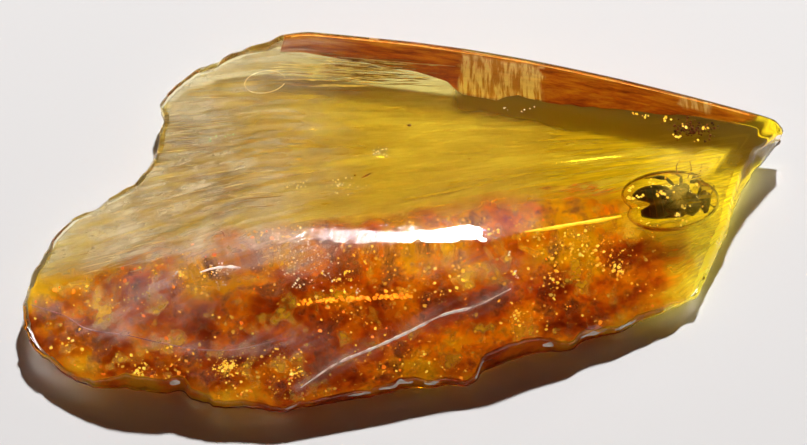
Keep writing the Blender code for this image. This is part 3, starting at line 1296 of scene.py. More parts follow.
@dataclass
class StrawVeil:
    """Veils of fine streaks over the underside, yellow to the right, with painted olive shade at the back
    and a painted golden glow at the right end and at the left.
    """

    lift: float = 0.06
    shade_from: Pair = (1.9, 3.0)
    shade_line: Outline = (
        (1.8, 5.5), (2.4, 5.05), (5.4, 4.4), (9.2, 3.55), (13.4, 2.65), (14.6, 2.95), (16.8, 3.05))
    gold_from: Pair = (4.5, 10.5)
    thick_left: Pair = (-3.0, -9.0)
    thick_right: Pair = (11.0, 14.0)
    # where the painted golden glow lies: towards the right end and at the places listed below
    lit_from: Pair = (9.5, 14.0)
    behind_crust: float = 2.0
    right_end: float = 10.5
    lit_places: Places = (((-14.6, -3.3), (2.6, 0.9), 0.35), ((-9.0, -1.6), (3.2, 0.7), 0.12))

    def build(self) -> Piece:
        """Make the sheet over the underside.

        Returns:
            The piece.
        """
        sheet = InnerSheet("straw_veil", VeilFinish().material())
        plan, faces = sheet.plan()
        x, y = plan[:, 0], plan[:, 1]
        gold = smooth_step(*self.gold_from, x)
        veil = np.clip(0.45 + 0.6 * smooth_step(*self.thick_left, x) + 0.55 * gold, 0.0, 1.0)
        veil += 0.6 * smooth_step(*self.thick_right, x)
        # painted shade: olive behind the shade line, rising from x 1.9 to 3.0
        line = np.interp(x, *zip(*self.shade_line)) + 0.3 * (smooth_noise(x, y, 0.8, 68) - 0.5)
        painted_olive_shade = smooth_step(*self.shade_from, x) * smooth_step(-0.22, 0.22, y - line)
        # painted light: golden glow towards the right end and at two places on the left
        lit = smooth_step(*self.lit_from, x) + glow(x, y, self.lit_places)
        kept = (y > FORM.crust_edge(x) - self.behind_crust) | (x > self.right_end)
        return sheet.build(plan, faces, FORM.base(x, y) + self.lift,
                           {"gold": gold, "veil": veil, "painted_olive_shade": painted_olive_shade, "lit": lit}, kept)


@dataclass
class FrontCrust:
    """Weathered crust of the front, which thins out under the flat."""

    lift: float = 0.12
    relief: float = 0.55
    ragged: float = 0.9
    fade_width: float = 1.7
    warm_places: Places = (
        ((-15.2, -3.4), (1.7, 1.1), 0.18), ((-8.9, -4.0), (2.2, 1.2), 0.17),
        ((-2.6, -4.5), (2.2, 0.8), 0.13), ((0.9, -3.0), (2.8, 1.0), 0.15),
        ((7.4, -1.6), (2.8, 1.0), 0.15), ((9.3, -2.4), (1.4, 0.8), 0.12),
        ((11.4, -1.3), (1.6, 0.8), -0.12), ((8.8, -0.5), (2.4, 0.6), 0.15),
        ((-2.2, -6.0), (1.6, 0.6), 0.08), ((12.8, -3.9), (1.4, 0.9), 0.18),
        ((1.6, -8.3), (1.8, 0.6), 0.12), ((-12.9, -6.0), (1.9, 1.0), -0.12),
        ((-10.6, -7.2), (1.8, 0.8), -0.10), ((-5.4, -6.9), (2.8, 0.8), -0.13),
        ((3.6, -3.9), (2.0, 0.8), -0.15), ((6.6, -4.2), (1.5, 0.8), -0.06),
        ((-12.4, -4.3), (1.2, 0.8), -0.08))
    right_fade: Pair = (14.2, 10.6)
    rim_from: Pair = (0.84, 0.96)
    cloud_spacing: float = 0.26
    cloud_right: Pair = (12.4, 8.6)
    cloud_rim: Pair = (0.97, 0.92)
    rim_warmth: float = 0.10
    fade_warmth: float = 0.20

    def build(self) -> list[Piece]:
        """Make the crust over the underside and the clouds that hang above it."""
        return [self.crust(), self.clouds()]

    def crust(self) -> Piece:
        """Lumpy crust over the underside.

        Returns:
            The piece.
        """
        sheet = InnerSheet("front_crust", CrustFinish().material())
        plan, faces = sheet.plan()
        x, y = plan[:, 0], plan[:, 1]
        ragged = ((smooth_noise(x, y, 1.1, 61) - 0.5) * self.ragged
                  + (smooth_noise(x, y, 0.4, 62) - 0.5) * self.ragged / 2)
        crust = smooth_step(self.fade_width, -self.fade_width, y - FORM.crust_edge(x) + ragged)
        crust *= smooth_step(*self.right_fade, x + 1.4 * (smooth_noise(x, y, 0.7, 63) - 0.5))
        warmth = (smooth_noise(x, y, 2.0, 66) - 0.5) * 0.16 + glow(x, y, self.warm_places)
        warmth += self.rim_warmth * smooth_step(*self.rim_from, FORM.reach(x, y)) * (y < FRONT)
        warmth += self.fade_warmth * (1.0 - crust)
        bumps = (smooth_noise(x, y, 1.3, 64) * 0.6 + smooth_noise(x, y, 0.5, 65) * 0.4) * crust
        base = FORM.base(x, y)
        room = np.maximum(FORM.top(x, y) - base - 0.5, 0.0)
        height = base + self.lift + np.minimum(bumps * crust ** 2 * self.relief, room * 0.5)
        return sheet.build(plan, faces, height, {"crust": crust, "warmth": warmth}, crust > 0.002)

    def clouds(self) -> Piece:
        """Thin clouds at about half the chip's depth.

        Returns:
            The piece.
        """
        sheet = InnerSheet("hanging_clouds", CloudFinish().material(), spacing=self.cloud_spacing)
        plan, faces = sheet.plan()
        x, y = plan[:, 0], plan[:, 1]
        base = FORM.base(x, y)
        room = np.maximum(FORM.top(x, y) - base - 0.3, 0.0)
        swell = 0.45 + 0.3 * smooth_noise(x, y, 2.2, 67)
        share = (smooth_step(0.2, -1.0, y - FORM.crust_edge(x)) * smooth_step(*self.cloud_right, x)
                 * smooth_step(*self.cloud_rim, FORM.reach(x, y)))
        return sheet.build(plan, faces, base + 0.2 + room * swell, {"crust": share}, share > 0.01)


@dataclass
class RimSkin:
    """Red skin on the inside of the broken front wall, from the left end to the right flank."""

    around: int = 640
    rows: int = 6
    gap: float = 0.09
    thickness: float = 0.02
    ends: Pair = (-5.2, 12.6)
    under_top: float = 0.07
    over_base: float = 0.08
    least_height: float = 0.14
    warmer_left: Pair = (-6.0, -8.5)
    warmer_right: Pair = (6.0, 9.0)
    end_warmth: float = 0.20

    def build(self) -> Piece:
        """Make the skin as a thin closed strip.

        Returns:
            The piece.
        """
        rim = FORM.outline(self.around)
        start = int(np.argmax(rim[:, 1]))
        rim, inward = np.roll(rim, -start, 0), np.roll(FORM.inward(rim), -start, 0)
        back, right = self.ends
        chosen = (rim[:, 1] < back) & (rim[:, 0] < right)
        rim, inward = rim[chosen], ring_average(inward[chosen], 2)
        x, y = (rim + inward * self.gap).T
        low = FORM.base(x, y) + self.over_base
        high = np.maximum(FORM.top(x, y) - self.under_top, FORM.base(x, y) + self.least_height)
        share = np.linspace(0.0, 1.0, self.rows)[:, None]
        height = low + (high - low) * share
        wide = np.broadcast_to(x, height.shape), np.broadcast_to(y, height.shape)
        flat = np.stack([*wide, height], axis=2)
        step = np.concatenate([inward * self.thickness, np.zeros((len(inward), 1))], axis=1)
        outer, inner = flat.reshape(-1, 3), (flat + step).reshape(-1, 3)
        obj = to_object("rim_skin", np.vstack([outer, inner]), strip_shell(self.rows, len(x)))
        count = len(outer) * 2
        turn, reach = fan(*np.vstack([outer, inner])[:, :2].T)
        warm = -0.04 + 0.12 * smooth_noise(outer[:, 0], outer[:, 1], 1.2, 95)
        for span in (self.warmer_left, self.warmer_right):
            warm += self.end_warmth * smooth_step(*span, outer[:, 0])
        for name, values in (("fan", turn), ("reach", reach), ("crust", np.ones(count)),
                             ("warmth", np.tile(warm, 2))):
            write_attribute(obj, name, values)
        obj.data.materials.append(CrustFinish().material())
        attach(obj, "root")
        return obj


def strip_shell(rows: int, columns: int) -> list:
    """Faces of a closed strip, whose two sides are grids of the same size: one side, then the other.

    Args:
        rows: Rows of each grid.
        columns: Columns of each grid.

    Returns:
        Faces that look outward.
    """
    count = rows * columns
    faces = []
    for row in range(rows - 1):
        for column in range(columns - 1):
            a = row * columns + column
            quad = (a, a + 1, a + columns + 1, a + columns)
            faces += [quad, tuple(i + count for i in reversed(quad))]
    border = ([(0, c) for c in range(columns)] + [(r, columns - 1) for r in range(1, rows)]
              + [(rows - 1, c) for c in range(columns - 2, -1, -1)]
              + [(r, 0) for r in range(rows - 2, 0, -1)])
    ring = [r * columns + c for r, c in border]
    return faces + [(b, a, a + count, b + count) for a, b in zip(ring, ring[1:] + ring[:1])]


@dataclass
class WornFilm:
    """Dull film just under the upper surface, with two pale painted highlight lines along ridges and the
    dull line of an old break.
    """

    depth: float = 0.05
    milk_share: float = 0.62
    honey_share: float = 0.55
    # pinkish film, partly wear and partly painted sheen beside the crest highlight
    pink_wear_and_sheen_places: Places = (
        ((-6.6, -4.3), (2.8, 0.9), 0.72), ((-11.8, -6.0), (2.4, 1.3), 0.34),
        ((-3.4, -3.7), (2.4, 0.5), 0.35), ((3.4, -4.9), (2.2, 0.6), 0.30),
        ((-5.4, -8.1), (1.8, 0.6), 0.22))
    # painted halo along the ridge highlight and the dull line
    fringe: float = 0.42
    fringe_width: float = 0.32
    # two painted highlights along ridges, and the dull line of an old break
    ridge_highlight_line: Outline = (
        (-4.8, -9.9), (-3.2, -9.0), (-1.6, -8.4), (0.0, -7.75), (1.7, -7.0), (3.3, -6.5), (5.0, -5.6))
    dull_line: Outline = (
        (-17.5, -5.3), (-15.8, -6.2), (-14.6, -7.1), (-12.0, -7.9), (-8.5, -8.4), (-5.3, -7.9))
    short_highlight_line: Outline = ((-9.5, -5.1), (-8.9, -4.95), (-8.2, -4.9), (-7.6, -4.95))
    ridge_highlight_width: float = 0.12
    dull_width: float = 0.045
    short_highlight_width: float = 0.13
    flank_fall: Pair = (0.05, 0.4)
    flank_from: Pair = (11.6, 13.4)
    flank_back: Pair = (2.4, 1.2)

    def build(self) -> list[Piece]:
        """Make the film and the lines under the upper surface.

        Returns:
            The film and the three lines.
        """
        # painted highlights: pale glowing lines where the ridges catch the light
        bright = SpecFinish("ridge_painted_highlight", (0.62, 0.42, 0.36), (1.0, 0.92, 0.86), 0.3, 0.3)
        short = SpecFinish("short_painted_highlight", (0.95, 0.80, 0.72), (1.0, 0.95, 0.90), 0.3, 0.5)
        dull = SpecFinish("dull_break", (0.30, 0.11, 0.12), (0.62, 0.40, 0.42), 0.5)
        return [self.film(), self.line(self.ridge_highlight_line, self.ridge_highlight_width, bright),
                self.line(self.short_highlight_line, self.short_highlight_width, short),
                self.line(self.dull_line, self.dull_width, dull)]

    def film(self) -> Piece:
        """Film under the left end and the worn crest, whose pink is partly wear and partly painted sheen.

        Returns:
            The piece.
        """
        sheet = InnerSheet("worn_film", FilmFinish().material(), inset=0.975)
        plan, faces = sheet.plan()
        x, y = plan[:, 0], plan[:, 1]
        flat = smooth_step(-4.9, -3.5, y + 0.05 * (x + 6.0) * (x < -6.0))
        milk = (0.55 * smooth_step(-1.0, -8.0, x) + 0.45 * smooth_step(-8.3, -9.6, x)) * flat
        # pink: partly wear, partly painted sheen, with a painted halo along the ridge lines
        pink_wear_and_sheen = glow(x, y, self.pink_wear_and_sheen_places) * (0.5 + smooth_noise(x, y, 0.8, 72))
        for knots in (self.ridge_highlight_line, self.dull_line):
            path = smooth_path(np.array(knots), 10)
            away = np.min(np.hypot(x[:, None] - path[:, 0], y[:, None] - path[:, 1]), axis=1)
            pink_wear_and_sheen += self.fringe * np.exp(-(away / self.fringe_width) ** 2)
        (tx, ty, tz), slope = FORM.upper[0]
        fall = tz + slope[0] * (x - tx) + slope[1] * (y - ty) - FORM.top(x, y)
        honey = (self.honey_share * smooth_step(*self.flank_fall, fall)
                 * smooth_step(*self.flank_from, x + 0.25 * y))
        honey *= smooth_step(*self.flank_back, y)
        film = np.clip(milk * self.milk_share + pink_wear_and_sheen + honey, 0.0, 1.0)
        height = np.maximum(ClearAmber.upper_relief(plan) - self.depth, FORM.base(x, y) + 0.15)
        values = {"film": film, "pink_wear_and_sheen": pink_wear_and_sheen / np.maximum(film, 0.01), "honey": honey > 0.02}
        return sheet.build(plan, faces, height, values, film > 0.01)

    def line(self, knots: Outline, width: float, finish: SpecFinish) -> Piece:
        """Flattened thread under the surface: a painted highlight along a ridge, or the dull line of an old
        break.

        Args:
            knots: Plan positions to run through.
            width: Largest half width.
            finish: Its finish, whose name it takes.

        Returns:
            The piece.
        """
        plan = smooth_path(np.array(knots), 10)
        height = ClearAmber.upper_relief(plan) - self.depth - width * 0.5
        taper = np.sin(np.linspace(0.12, math.pi - 0.12, len(plan))) ** 0.5
        rough = 0.3 + 0.7 * smooth_noise(plan[:, 0] * 4, plan[:, 1] * 4, 1.0, 73)
        pile = Pile()
        pile.add(tube(np.column_stack([plan, height, width * taper * rough]).tolist(), 6, 1))
        return pile.build(finish.name, finish.material())


@dataclass
class BackBand:
    """Painted red-brown reflection inside the polished back and its foot, with a scraped patch and a worn
    spot.
    """

    columns: int = 260
    wall_rows: int = 12
    foot_rows: int = 10
    gap: float = 0.07
    thickness: float = 0.02
    span: Pair = (-5.6, 16.7)
    foot_width: Outline = (
        (-5.6, 0.1), (-0.2, 0.5), (2.1, 0.75), (2.8, 1.25), (4.4, 1.2), (5.4, 0.85), (6.8, 0.9),
        (9.2, 0.6), (11.6, 0.35), (13.9, 0.12), (16.7, 0.02))
    foot_lift: float = 0.14
    line_radius: float = 0.035
    tip_rise: Outline = ((11.5, -0.2), (13.5, 0.28), (15.9, 0.55), (16.7, 0.95))
    scrape: Pair = (2.7, 6.5)
    worn_spot: Pair = (13.1, 14.5)
    worn_share: float = 0.75

    def build(self) -> list[Piece]:
        """Make the painted reflection and the painted highlight along its rim."""
        return [self.skin(), self.painted_rim_highlight()]

    def painted_rim_highlight(self) -> Piece:
        """Painted highlight: thin glowing orange line just under the rim of the polished back.

        Returns:
            The piece.
        """
        x = np.linspace(self.span[0] + 0.3, self.span[1] - 0.4, 40)
        y = FORM.back_edge(x) - 0.16
        radius = self.line_radius * (0.4 + 0.9 * smooth_noise(x * 1.3, x * 0, 1.0, 93))
        pile = Pile()
        pile.add(tube(np.column_stack([x, y, FORM.top(x, y) - 0.13, radius]).tolist(), 6, 2))
        # painted highlight along the rim, glowing orange
        finish = SpecFinish("painted_rim_highlight", (0.90, 0.30, 0.02), (1.0, 0.58, 0.10), 0.4, 0.45)
        return pile.build("back_painted_rim_highlight", finish.material())

    def skin(self) -> Piece:
        """Make the painted reflection as a thin closed strip, from its lower edge up to the rim.

        Returns:
            The piece.
        """
        x = np.linspace(*self.span, self.columns)
        rim = FORM.back_edge(x) - 0.03
        top = FORM.top(x, rim) - 0.1
        share = np.linspace(0.0, 1.0, self.wall_rows)[:, None]
        inside = rim - FORM.wall_lean * (top - FORM.wall_foot) - self.gap
        lowest = np.maximum(FORM.wall_foot, FORM.base(x, inside) + self.foot_lift)
        height = lowest + (top - lowest) * share
        wall = rim - FORM.wall_lean * (top - height) - self.gap
        out = np.linspace(1.0, 0.0, self.foot_rows, endpoint=False)[:, None]
        widths = np.interp(x, *zip(*self.foot_width)) * (0.92 + 0.16 * smooth_noise(x * 2, x * 0, 1.0, 92))
        foot = wall[:1] - out * widths
        foot_height = FORM.base(np.broadcast_to(x, foot.shape), foot) + self.foot_lift
        y, z = np.vstack([foot, wall]), np.vstack([foot_height, height])
        rows = len(y)
        along = np.broadcast_to(x, y.shape)
        inner = np.stack([along, y, z], axis=2).reshape(-1, 3)
        outer = inner + (0.0, self.thickness, -self.thickness / 2)
        level = np.broadcast_to(np.linspace(0.0, 1.0, rows)[:, None], y.shape)
        obj = to_object("painted_back_reflection", np.vstack([inner, outer]), strip_shell(rows, self.columns))
        ragged = (smooth_noise(along * 3, z * 3, 1.0, 91) - 0.5) * 0.5
        patch = self.between(self.scrape, 0.1, along + ragged)
        patch *= smooth_step(0.97, 0.85, level + ragged * 0.2)
        spot = self.between(self.worn_spot, 0.15, along + ragged)
        patch += self.worn_share * spot * smooth_step(0.55, 0.75, level + ragged * 0.3)
        rise = np.interp(along, *zip(*self.tip_rise))
        kept = smooth_step(-0.12, 0.12, level + ragged * 0.15 - rise)
        for name, values in (("scrape", patch), ("level", level), ("kept", kept)):
            write_attribute(obj, name, np.tile(values.ravel(), 2))
        obj.data.materials.append(BandFinish().material())
        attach(obj, "root")
        return obj

    @staticmethod
    def between(ends: Pair, soft: float, place: np.ndarray) -> np.ndarray:
        """One between two places along X, with soft ends."""
        low, high = ends
        return smooth_step(low - soft, low + soft, place) * smooth_step(high + soft, high - soft, place)


@dataclass
class Spangles:
    """Gold spangles scattered through the front of the chip, with a few dense clusters; their glow is a
    painted glint.
    """

    scattered: int = 620
    dim: int = 700
    glowing: int = 90
    seed: int = 7
    ground: tuple[Pair, Pair] = ((-17.4, 12.6), (-10.6, -2.4))
    small: Pair = (0.025, 0.10)
    middling: Pair = (0.03, 0.13)
    large: Pair = (0.06, 0.16)
    clusters: Clusters = (
        (9.2, -3.6, 0.9, 60), (7.9, -3.4, 0.7, 40), (5.4, -6.4, 0.7, 40), (-8.5, -9.0, 0.6, 40),
        (-7.6, -8.8, 0.5, 26), (0.9, -8.1, 0.6, 34), (-12.5, -8.9, 0.6, 30), (2.6, -5.2, 0.9, 40),
        (-10.0, -5.2, 0.8, 24), (-2.6, -5.4, 0.5, 18), (-15.6, -7.2, 0.9, 22), (6.6, -4.6, 0.8, 34),
        (-8.3, -8.9, 0.35, 60), (-12.3, -9.1, 0.2, 22), (-5.0, -9.2, 0.3, 34), (10.0, -3.9, 0.35, 34))

    def build(self) -> list[Piece]:
        """Make the gold, dim and orange flakes, each kind as one joined mesh.

        Returns:
            The three kinds of flake.
        """
        rng = np.random.default_rng(self.seed)
        gold = Pile()
        self.strew(gold, self.scattered, self.small, rng)
        for cx, cy, spread, number in self.clusters:
            for _ in range(number):
                px, py = cx + rng.normal() * spread * 0.6, cy + rng.normal() * spread * 0.45
                self.flake_at(gold, px, py, rng, self.middling)
        dim, orange = Pile(), Pile()
        self.strew(dim, self.dim, self.middling, rng)
        self.strew(orange, self.glowing, self.large, rng)
        # the glow of each kind is a painted glint, where real spangles catch the light
        bright = SpecFinish("gold_spangle", (0.85, 0.42, 0.02), (1.0, 0.78, 0.12), 0.25, 0.60)
        faint = SpecFinish("dim_spangle", (0.55, 0.28, 0.02), (0.85, 0.55, 0.06), 0.35, 0.20)
        warm = SpecFinish("orange_spangle", (0.95, 0.18, 0.01), (1.0, 0.34, 0.02), 0.3, 0.55)
        return [gold.build("gold_spangles", bright.material(), smooth=False),
                dim.build("dim_spangles", faint.material(), smooth=False),
                orange.build("orange_spangles", warm.material(), smooth=False)]

    def strew(self, pile: Pile, count: int, radii: Pair, rng: np.random.Generator) -> None:
        """Add flakes over the front, thinned out in drifts.

        Args:
            pile: Where the flakes go.
            count: Number of flakes at most.
            radii: Smallest and largest radius.
            rng: Random numbers.
        """
        x, y = (rng.uniform(*ends, count * 5) for ends in self.ground)
        drift = smooth_noise(x, y, 1.5, 101) > 0.25 + 0.5 * rng.random(count * 5)
        wanted = (FORM.reach(x, y) < 0.955) & (y < FORM.crust_edge(x) - 0.6) & drift
        for px, py in np.column_stack([x, y])[wanted][:count]:
            self.flake_at(pile, px, py, rng, radii)

    @staticmethod
    def flake_at(pile: Pile, x: float, y: float, rng: np.random.Generator, radii: Pair) -> None:
        """Add one flake under a place of the upper surface, if the amber is thick enough.

        Args:
            pile: Where the flake goes.
            x: Its place along X.
            y: Its place along Y.
            rng: Random numbers.
            radii: Smallest and largest radius.
        """
        here = np.array([x]), np.array([y])
        if FORM.reach(*here)[0] > 0.96:
            return
        top, base = FORM.top(*here)[0], FORM.base(*here)[0]
        depth = 0.25 + 0.75 * rng.random() ** 1.5
        if top - base < depth + 0.45:
            depth = (top - base) * 0.4
        radius = radii[0] + (radii[1] - radii[0]) * rng.random() ** 3
        pile.add(flake(np.array([x, y, top - depth]), radius, THIN, rng))


@dataclass
class Inclusions:
    """Specks, splinters, fibres and small cracks inside the clear part, with painted glints, a painted
    glowing line and flakes that paint the bee's reflection in the back wall.
    """

    splinter: Knots = (
        (-1.95, -0.05, 4.1, 0.02), (-1.72, 0.08, 4.12, 0.045), (-1.5, 0.22, 4.15, 0.02))
    specks: Knots = (
        (0.28, 3.05, 3.7, 0.07), (-2.27, 0.1, 4.1, 0.05), (-5.4, 2.4, 3.2, 0.04), (3.1, 1.2, 3.5, 0.035))
    curl: Knots = (
        (-8.9, -3.0, 3.75, 0.02), (-8.7, -2.75, 3.8, 0.035), (-8.4, -2.85, 3.8, 0.035),
        (-8.3, -3.1, 3.75, 0.02))
    ring_centre: Point = (-6.5, 5.95, 2.75)
    ring_radii: Pair = (1.0, 0.62)
    sparkles: Clusters = (
        (-1.2, 1.5, 0.5, 22), (-2.8, -0.4, 0.8, 26), (-5.0, -0.4, 0.6, 18), (5.4, 4.2, 0.8, 8),
        (-4.6, -4.4, 1.8, 120), (-8.6, -4.9, 0.7, 30), (-10.6, -4.9, 0.14, 7), (5.2, -4.88, 0.14, 9),
        (4.9, -4.1, 0.10, 5), (-5.0, -5.6, 0.3, 8), (-2.1, -5.8, 0.16, 6), (3.45, -3.25, 0.2, 7))
    gleam: tuple[Point, Point] = ((-4.9, -6.2, 3.3), (0.2, -5.95, 3.46))
    gleam_flakes: int = 110
    # painted light along the crease between the flat and the right front face
    crease_glow_knots: Knots = (
        (5.66, -3.2, 4.55, 0.03), (6.8, -2.95, 4.46, 0.075), (8.0, -2.6, 4.32, 0.055),
        (9.2, -2.28, 4.16, 0.08), (10.15, -1.98, 4.02, 0.03))
    green_glint: Point = (-8.5, 2.9, 2.8)
    # painted glints; the first seven paint the bee's golden glints reflected in the back wall
    golden: tuple[Point, ...] = (
        (10.9, 3.95, 3.3), (11.4, 3.85, 3.3), (13.2, 3.35, 3.3), (12.8, 2.65, 3.4), (14.2, 3.3, 3.1),
        (13.9, 2.5, 3.2), (12.3, 3.7, 3.2), (5.2, -5.0, 4.0),
        (-2.6, -5.1, 4.2), (-10.4, -5.0, 3.4))
    hackle_places: tuple[tuple[float, float, float, float, int], ...] = (
        (-2.2, 6.9, 3.2, 0.8, 110), (-9.6, 4.2, 1.2, 1.7, 30), (-8.5, 0.5, 2.5, 1.4, 25),
        (-13.0, -2.6, 2.2, 0.9, 20))
    fibre_patch: Point = (8.7, -0.7, 4.2)
    fibre_count: int = 34
    strands: tuple[Knots, ...] = (
        ((13.3, 0.5, 2.8, 0.02), (13.5, 0.9, 3.1, 0.035), (13.45, 1.3, 3.4, 0.02)),
        ((13.6, 0.4, 2.7, 0.02), (13.9, 0.8, 3.0, 0.03), (14.0, 1.2, 3.2, 0.02)),
        ((12.9, 0.6, 2.9, 0.015), (12.8, 1.0, 3.2, 0.03), (13.0, 1.4, 3.4, 0.015)))
    # dark flakes that paint the bee's dark reflection in the back wall
    bee_reflection_spot: Point = (13.5, 3.45, 2.3)
    bee_reflection_count: int = 190
    bee_reflection_spread: Point = (0.52, 0.26, 0.3)
    flakes_each: int = 4
    green_flakes: int = 7
    seed: int = 23

    def build(self) -> list[Piece]:
        """Make every kind of inclusion in the clear part.

        Returns:
            The pieces.
        """
        return [self.dark_pieces(), self.pale_cracks(), self.red_fibres(), self.painted_golden_glints(),
                self.orange_gleams(), self.green_crack(), self.hackle_lines(False), self.hackle_lines(True),
                self.painted_crease_glow()]

    def dark_pieces(self) -> Piece:
        """Splinter, specks, curl, the strands over the bee, and dark flakes behind it that paint the bee's
        dark reflection in the back wall.

        Returns:
            The piece.
        """
        rng = np.random.default_rng(self.seed + 7)
        pile = Pile()
        # painted reflection: dark flakes where the back wall mirrors the bee
        for _ in range(self.bee_reflection_count):
            place = np.array(self.bee_reflection_spot) + rng.normal(size=3) * self.bee_reflection_spread
            pile.add(flake(place, rng.uniform(0.02, 0.09), THIN, rng))
        pile.add(tube(list(self.splinter)))
        pile.add(tube(list(self.curl)))
        for strand in self.strands:
            pile.add(tube(list(strand), 6))
        for x, y, z, radius in self.specks:
            pile.add(ball((x, y, z), (radius * 1.4, radius, radius * 0.8), 10, 8))
        finish = SpecFinish("dark_debris_and_painted_reflection", (0.05, 0.012, 0.004), (0.28, 0.06, 0.01), 0.5)
        return pile.build("dark_debris_and_painted_reflection", finish.material())

    def pale_cracks(self) -> Piece:
        """Ring-shaped mark and the tiny cracks that catch the light, with a faint painted glow.

        Returns:
            The piece.
        """
        rng = np.random.default_rng(self.seed)
        pile = Pile()
        (cx, cy, cz), (wide, deep) = self.ring_centre, self.ring_radii
        turns = np.linspace(0.2, 2 * math.pi - 0.3, 22)
        pile.add(tube([(cx + wide * math.cos(t), cy + deep * math.sin(t), cz + 0.1 * math.sin(t), 0.022)
                       for t in turns], 6, 2))
        for x, y, spread, number in self.sparkles:
            for _ in range(number):
                place = np.array([x + rng.normal() * spread * 0.5, y + rng.normal() * spread * 0.35, 0.0])
                place[2] = FORM.top(place[:1], place[1:2])[0] - rng.uniform(0.3, 0.9)
                pile.add(flake(place, rng.uniform(0.025, 0.075), THIN, rng))
        # painted glint: the ring and the cracks glow a little
        finish = SpecFinish("pale_crack", (0.78, 0.66, 0.40), (0.98, 0.93, 0.78), 0.3, 0.3)
        return pile.build("pale_cracks", finish.material(), smooth=False)

    def red_fibres(self) -> Piece:
        """Short reddish fibres beside the bee, all along the streaks.

        Returns:
            The piece.
        """
        rng = np.random.default_rng(self.seed + 1)
        pile = Pile()
        for _ in range(self.fibre_count):
            centre = np.array(self.fibre_patch) + rng.normal(size=3) * (0.75, 0.22, 0.12)
            along = np.array([FAN_POINT[0] - centre[0], FAN_POINT[1] - centre[1], -1.0])
            along /= np.linalg.norm(along)
            half = along * rng.uniform(0.12, 0.42)
            rise = rng.normal(size=3) * 0.03
            pile.add(tube([(*(centre - half), THIN), (*(centre + rise), rng.uniform(0.012, 0.03)),
                           (*(centre + half), THIN)], 5, 3))
        finish = SpecFinish("red_fibre", (0.30, 0.06, 0.01), (0.72, 0.24, 0.03), 0.5)
        return pile.build("red_fibres", finish.material())

    def hackle_lines(self, pale: bool) -> Piece:
        """Fine lines along the streaks of the fractured left and back, pale or brown.

        Args:
            pale: Whether the lines are pale.

        Returns:
            The piece.
        """
        rng = np.random.default_rng(self.seed + (5 if pale else 6))
        pile = Pile()
        for cx, cy, wide, deep, number in self.hackle_places:
            for _ in range(number):
                centre = np.array([cx + rng.normal() * wide * 0.5, cy + rng.normal() * deep * 0.5, 0.0])
                if FORM.reach(centre[:1], centre[1:2])[0] > 0.93:
                    continue
                along = np.array([FAN_POINT[0] - centre[0], FAN_POINT[1] - centre[1], 0.0])
                half = along / np.linalg.norm(along) * rng.uniform(0.25, 1.1)
                rows = []
                for share, radius in ((-1.0, THIN), (0.0, rng.uniform(0.012, 0.034)), (1.0, THIN)):
                    place = centre + half * share + rng.normal(size=3) * 0.02
                    place[2] = FORM.base(place[:1], place[1:2])[0] + 0.25
                    rows.append((*place, radius))
                pile.add(tube(rows, 5, 4))
        if pale:
            # the pale lines glow faintly: painted light
            finish = SpecFinish("pale_hackle", (0.80, 0.66, 0.34), (1.0, 0.93, 0.70), 0.5, 0.12)
        else:
            finish = SpecFinish("brown_hackle", (0.28, 0.15, 0.03), (0.55, 0.33, 0.08), 0.5)
        return pile.build("pale_hackle" if pale else "brown_hackle", finish.material())

    def painted_golden_glints(self) -> Piece:
        """A few larger flakes with a painted golden glint; the first seven places paint the bee's golden
        glints as reflected in the back wall.

        Returns:
            The piece.
        """
        rng = np.random.default_rng(self.seed + 2)
        pile = Pile()
        for place in self.golden:
            for _ in range(self.flakes_each):
                spot = np.array(place) + rng.normal(size=3) * (0.12, 0.07, 0.04)
                pile.add(flake(spot, rng.uniform(0.04, 0.10), 0.008, rng))
        finish = SpecFinish("painted_golden_glint", (1.0, 0.55, 0.03), (1.0, 0.80, 0.12), 0.2, 0.6)
        return pile.build("painted_golden_glints", finish.material(), smooth=False)

    def orange_gleams(self) -> Piece:
        """Row of small cracks that shine orange through the front, their shine a painted glow.

        Returns:
            The piece.
        """
        rng = np.random.default_rng(self.seed + 4)
        pile = Pile()
        first, last = np.array(self.gleam)
        for share in rng.random(self.gleam_flakes) ** 0.8:
            place = first + (last - first) * share + rng.normal(size=3) * (0.1, 0.07, 0.06)
            pile.add(flake(place, rng.uniform(0.04, 0.14), THIN, rng))
        # painted glint: the cracks glow orange
        finish = SpecFinish("orange_gleam", (1.0, 0.24, 0.01), (1.0, 0.55, 0.03), 0.3, 0.7)
        return pile.build("orange_gleams", finish.material(), smooth=False)

    def painted_crease_glow(self) -> Piece:
        """Painted light: glowing yellow line along the crease from the crest to the bee.

        Returns:
            The piece.
        """
        pile = Pile()
        pile.add(tube(list(self.crease_glow_knots), 8, 6))
        # painted light: the line glows yellow
        finish = SpecFinish("painted_crease_glow", (1.0, 0.55, 0.02), (1.0, 0.80, 0.05), 0.3, 0.7)
        return pile.build("painted_crease_glow", finish.material())

    def green_crack(self) -> Piece:
        """One thin crack with the green of a soap film, painted as a glow.

        Returns:
            The piece.
        """
        rng = np.random.default_rng(self.seed + 3)
        pile = Pile()
        for _ in range(self.green_flakes):
            spot = np.array(self.green_glint) + rng.normal(size=3) * (0.3, 0.05, 0.02)
            spot[2] = FORM.top(spot[:1], spot[1:2])[0] - 0.1
            pile.add(flake(spot, rng.uniform(0.04, 0.1), THIN, rng))
        # painted glint: the flakes glow green
        finish = SpecFinish("green_crack", (0.35, 0.75, 0.30), (0.65, 1.0, 0.60), 0.15, 0.35)
        return pile.build("green_crack", finish.material(), smooth=False)


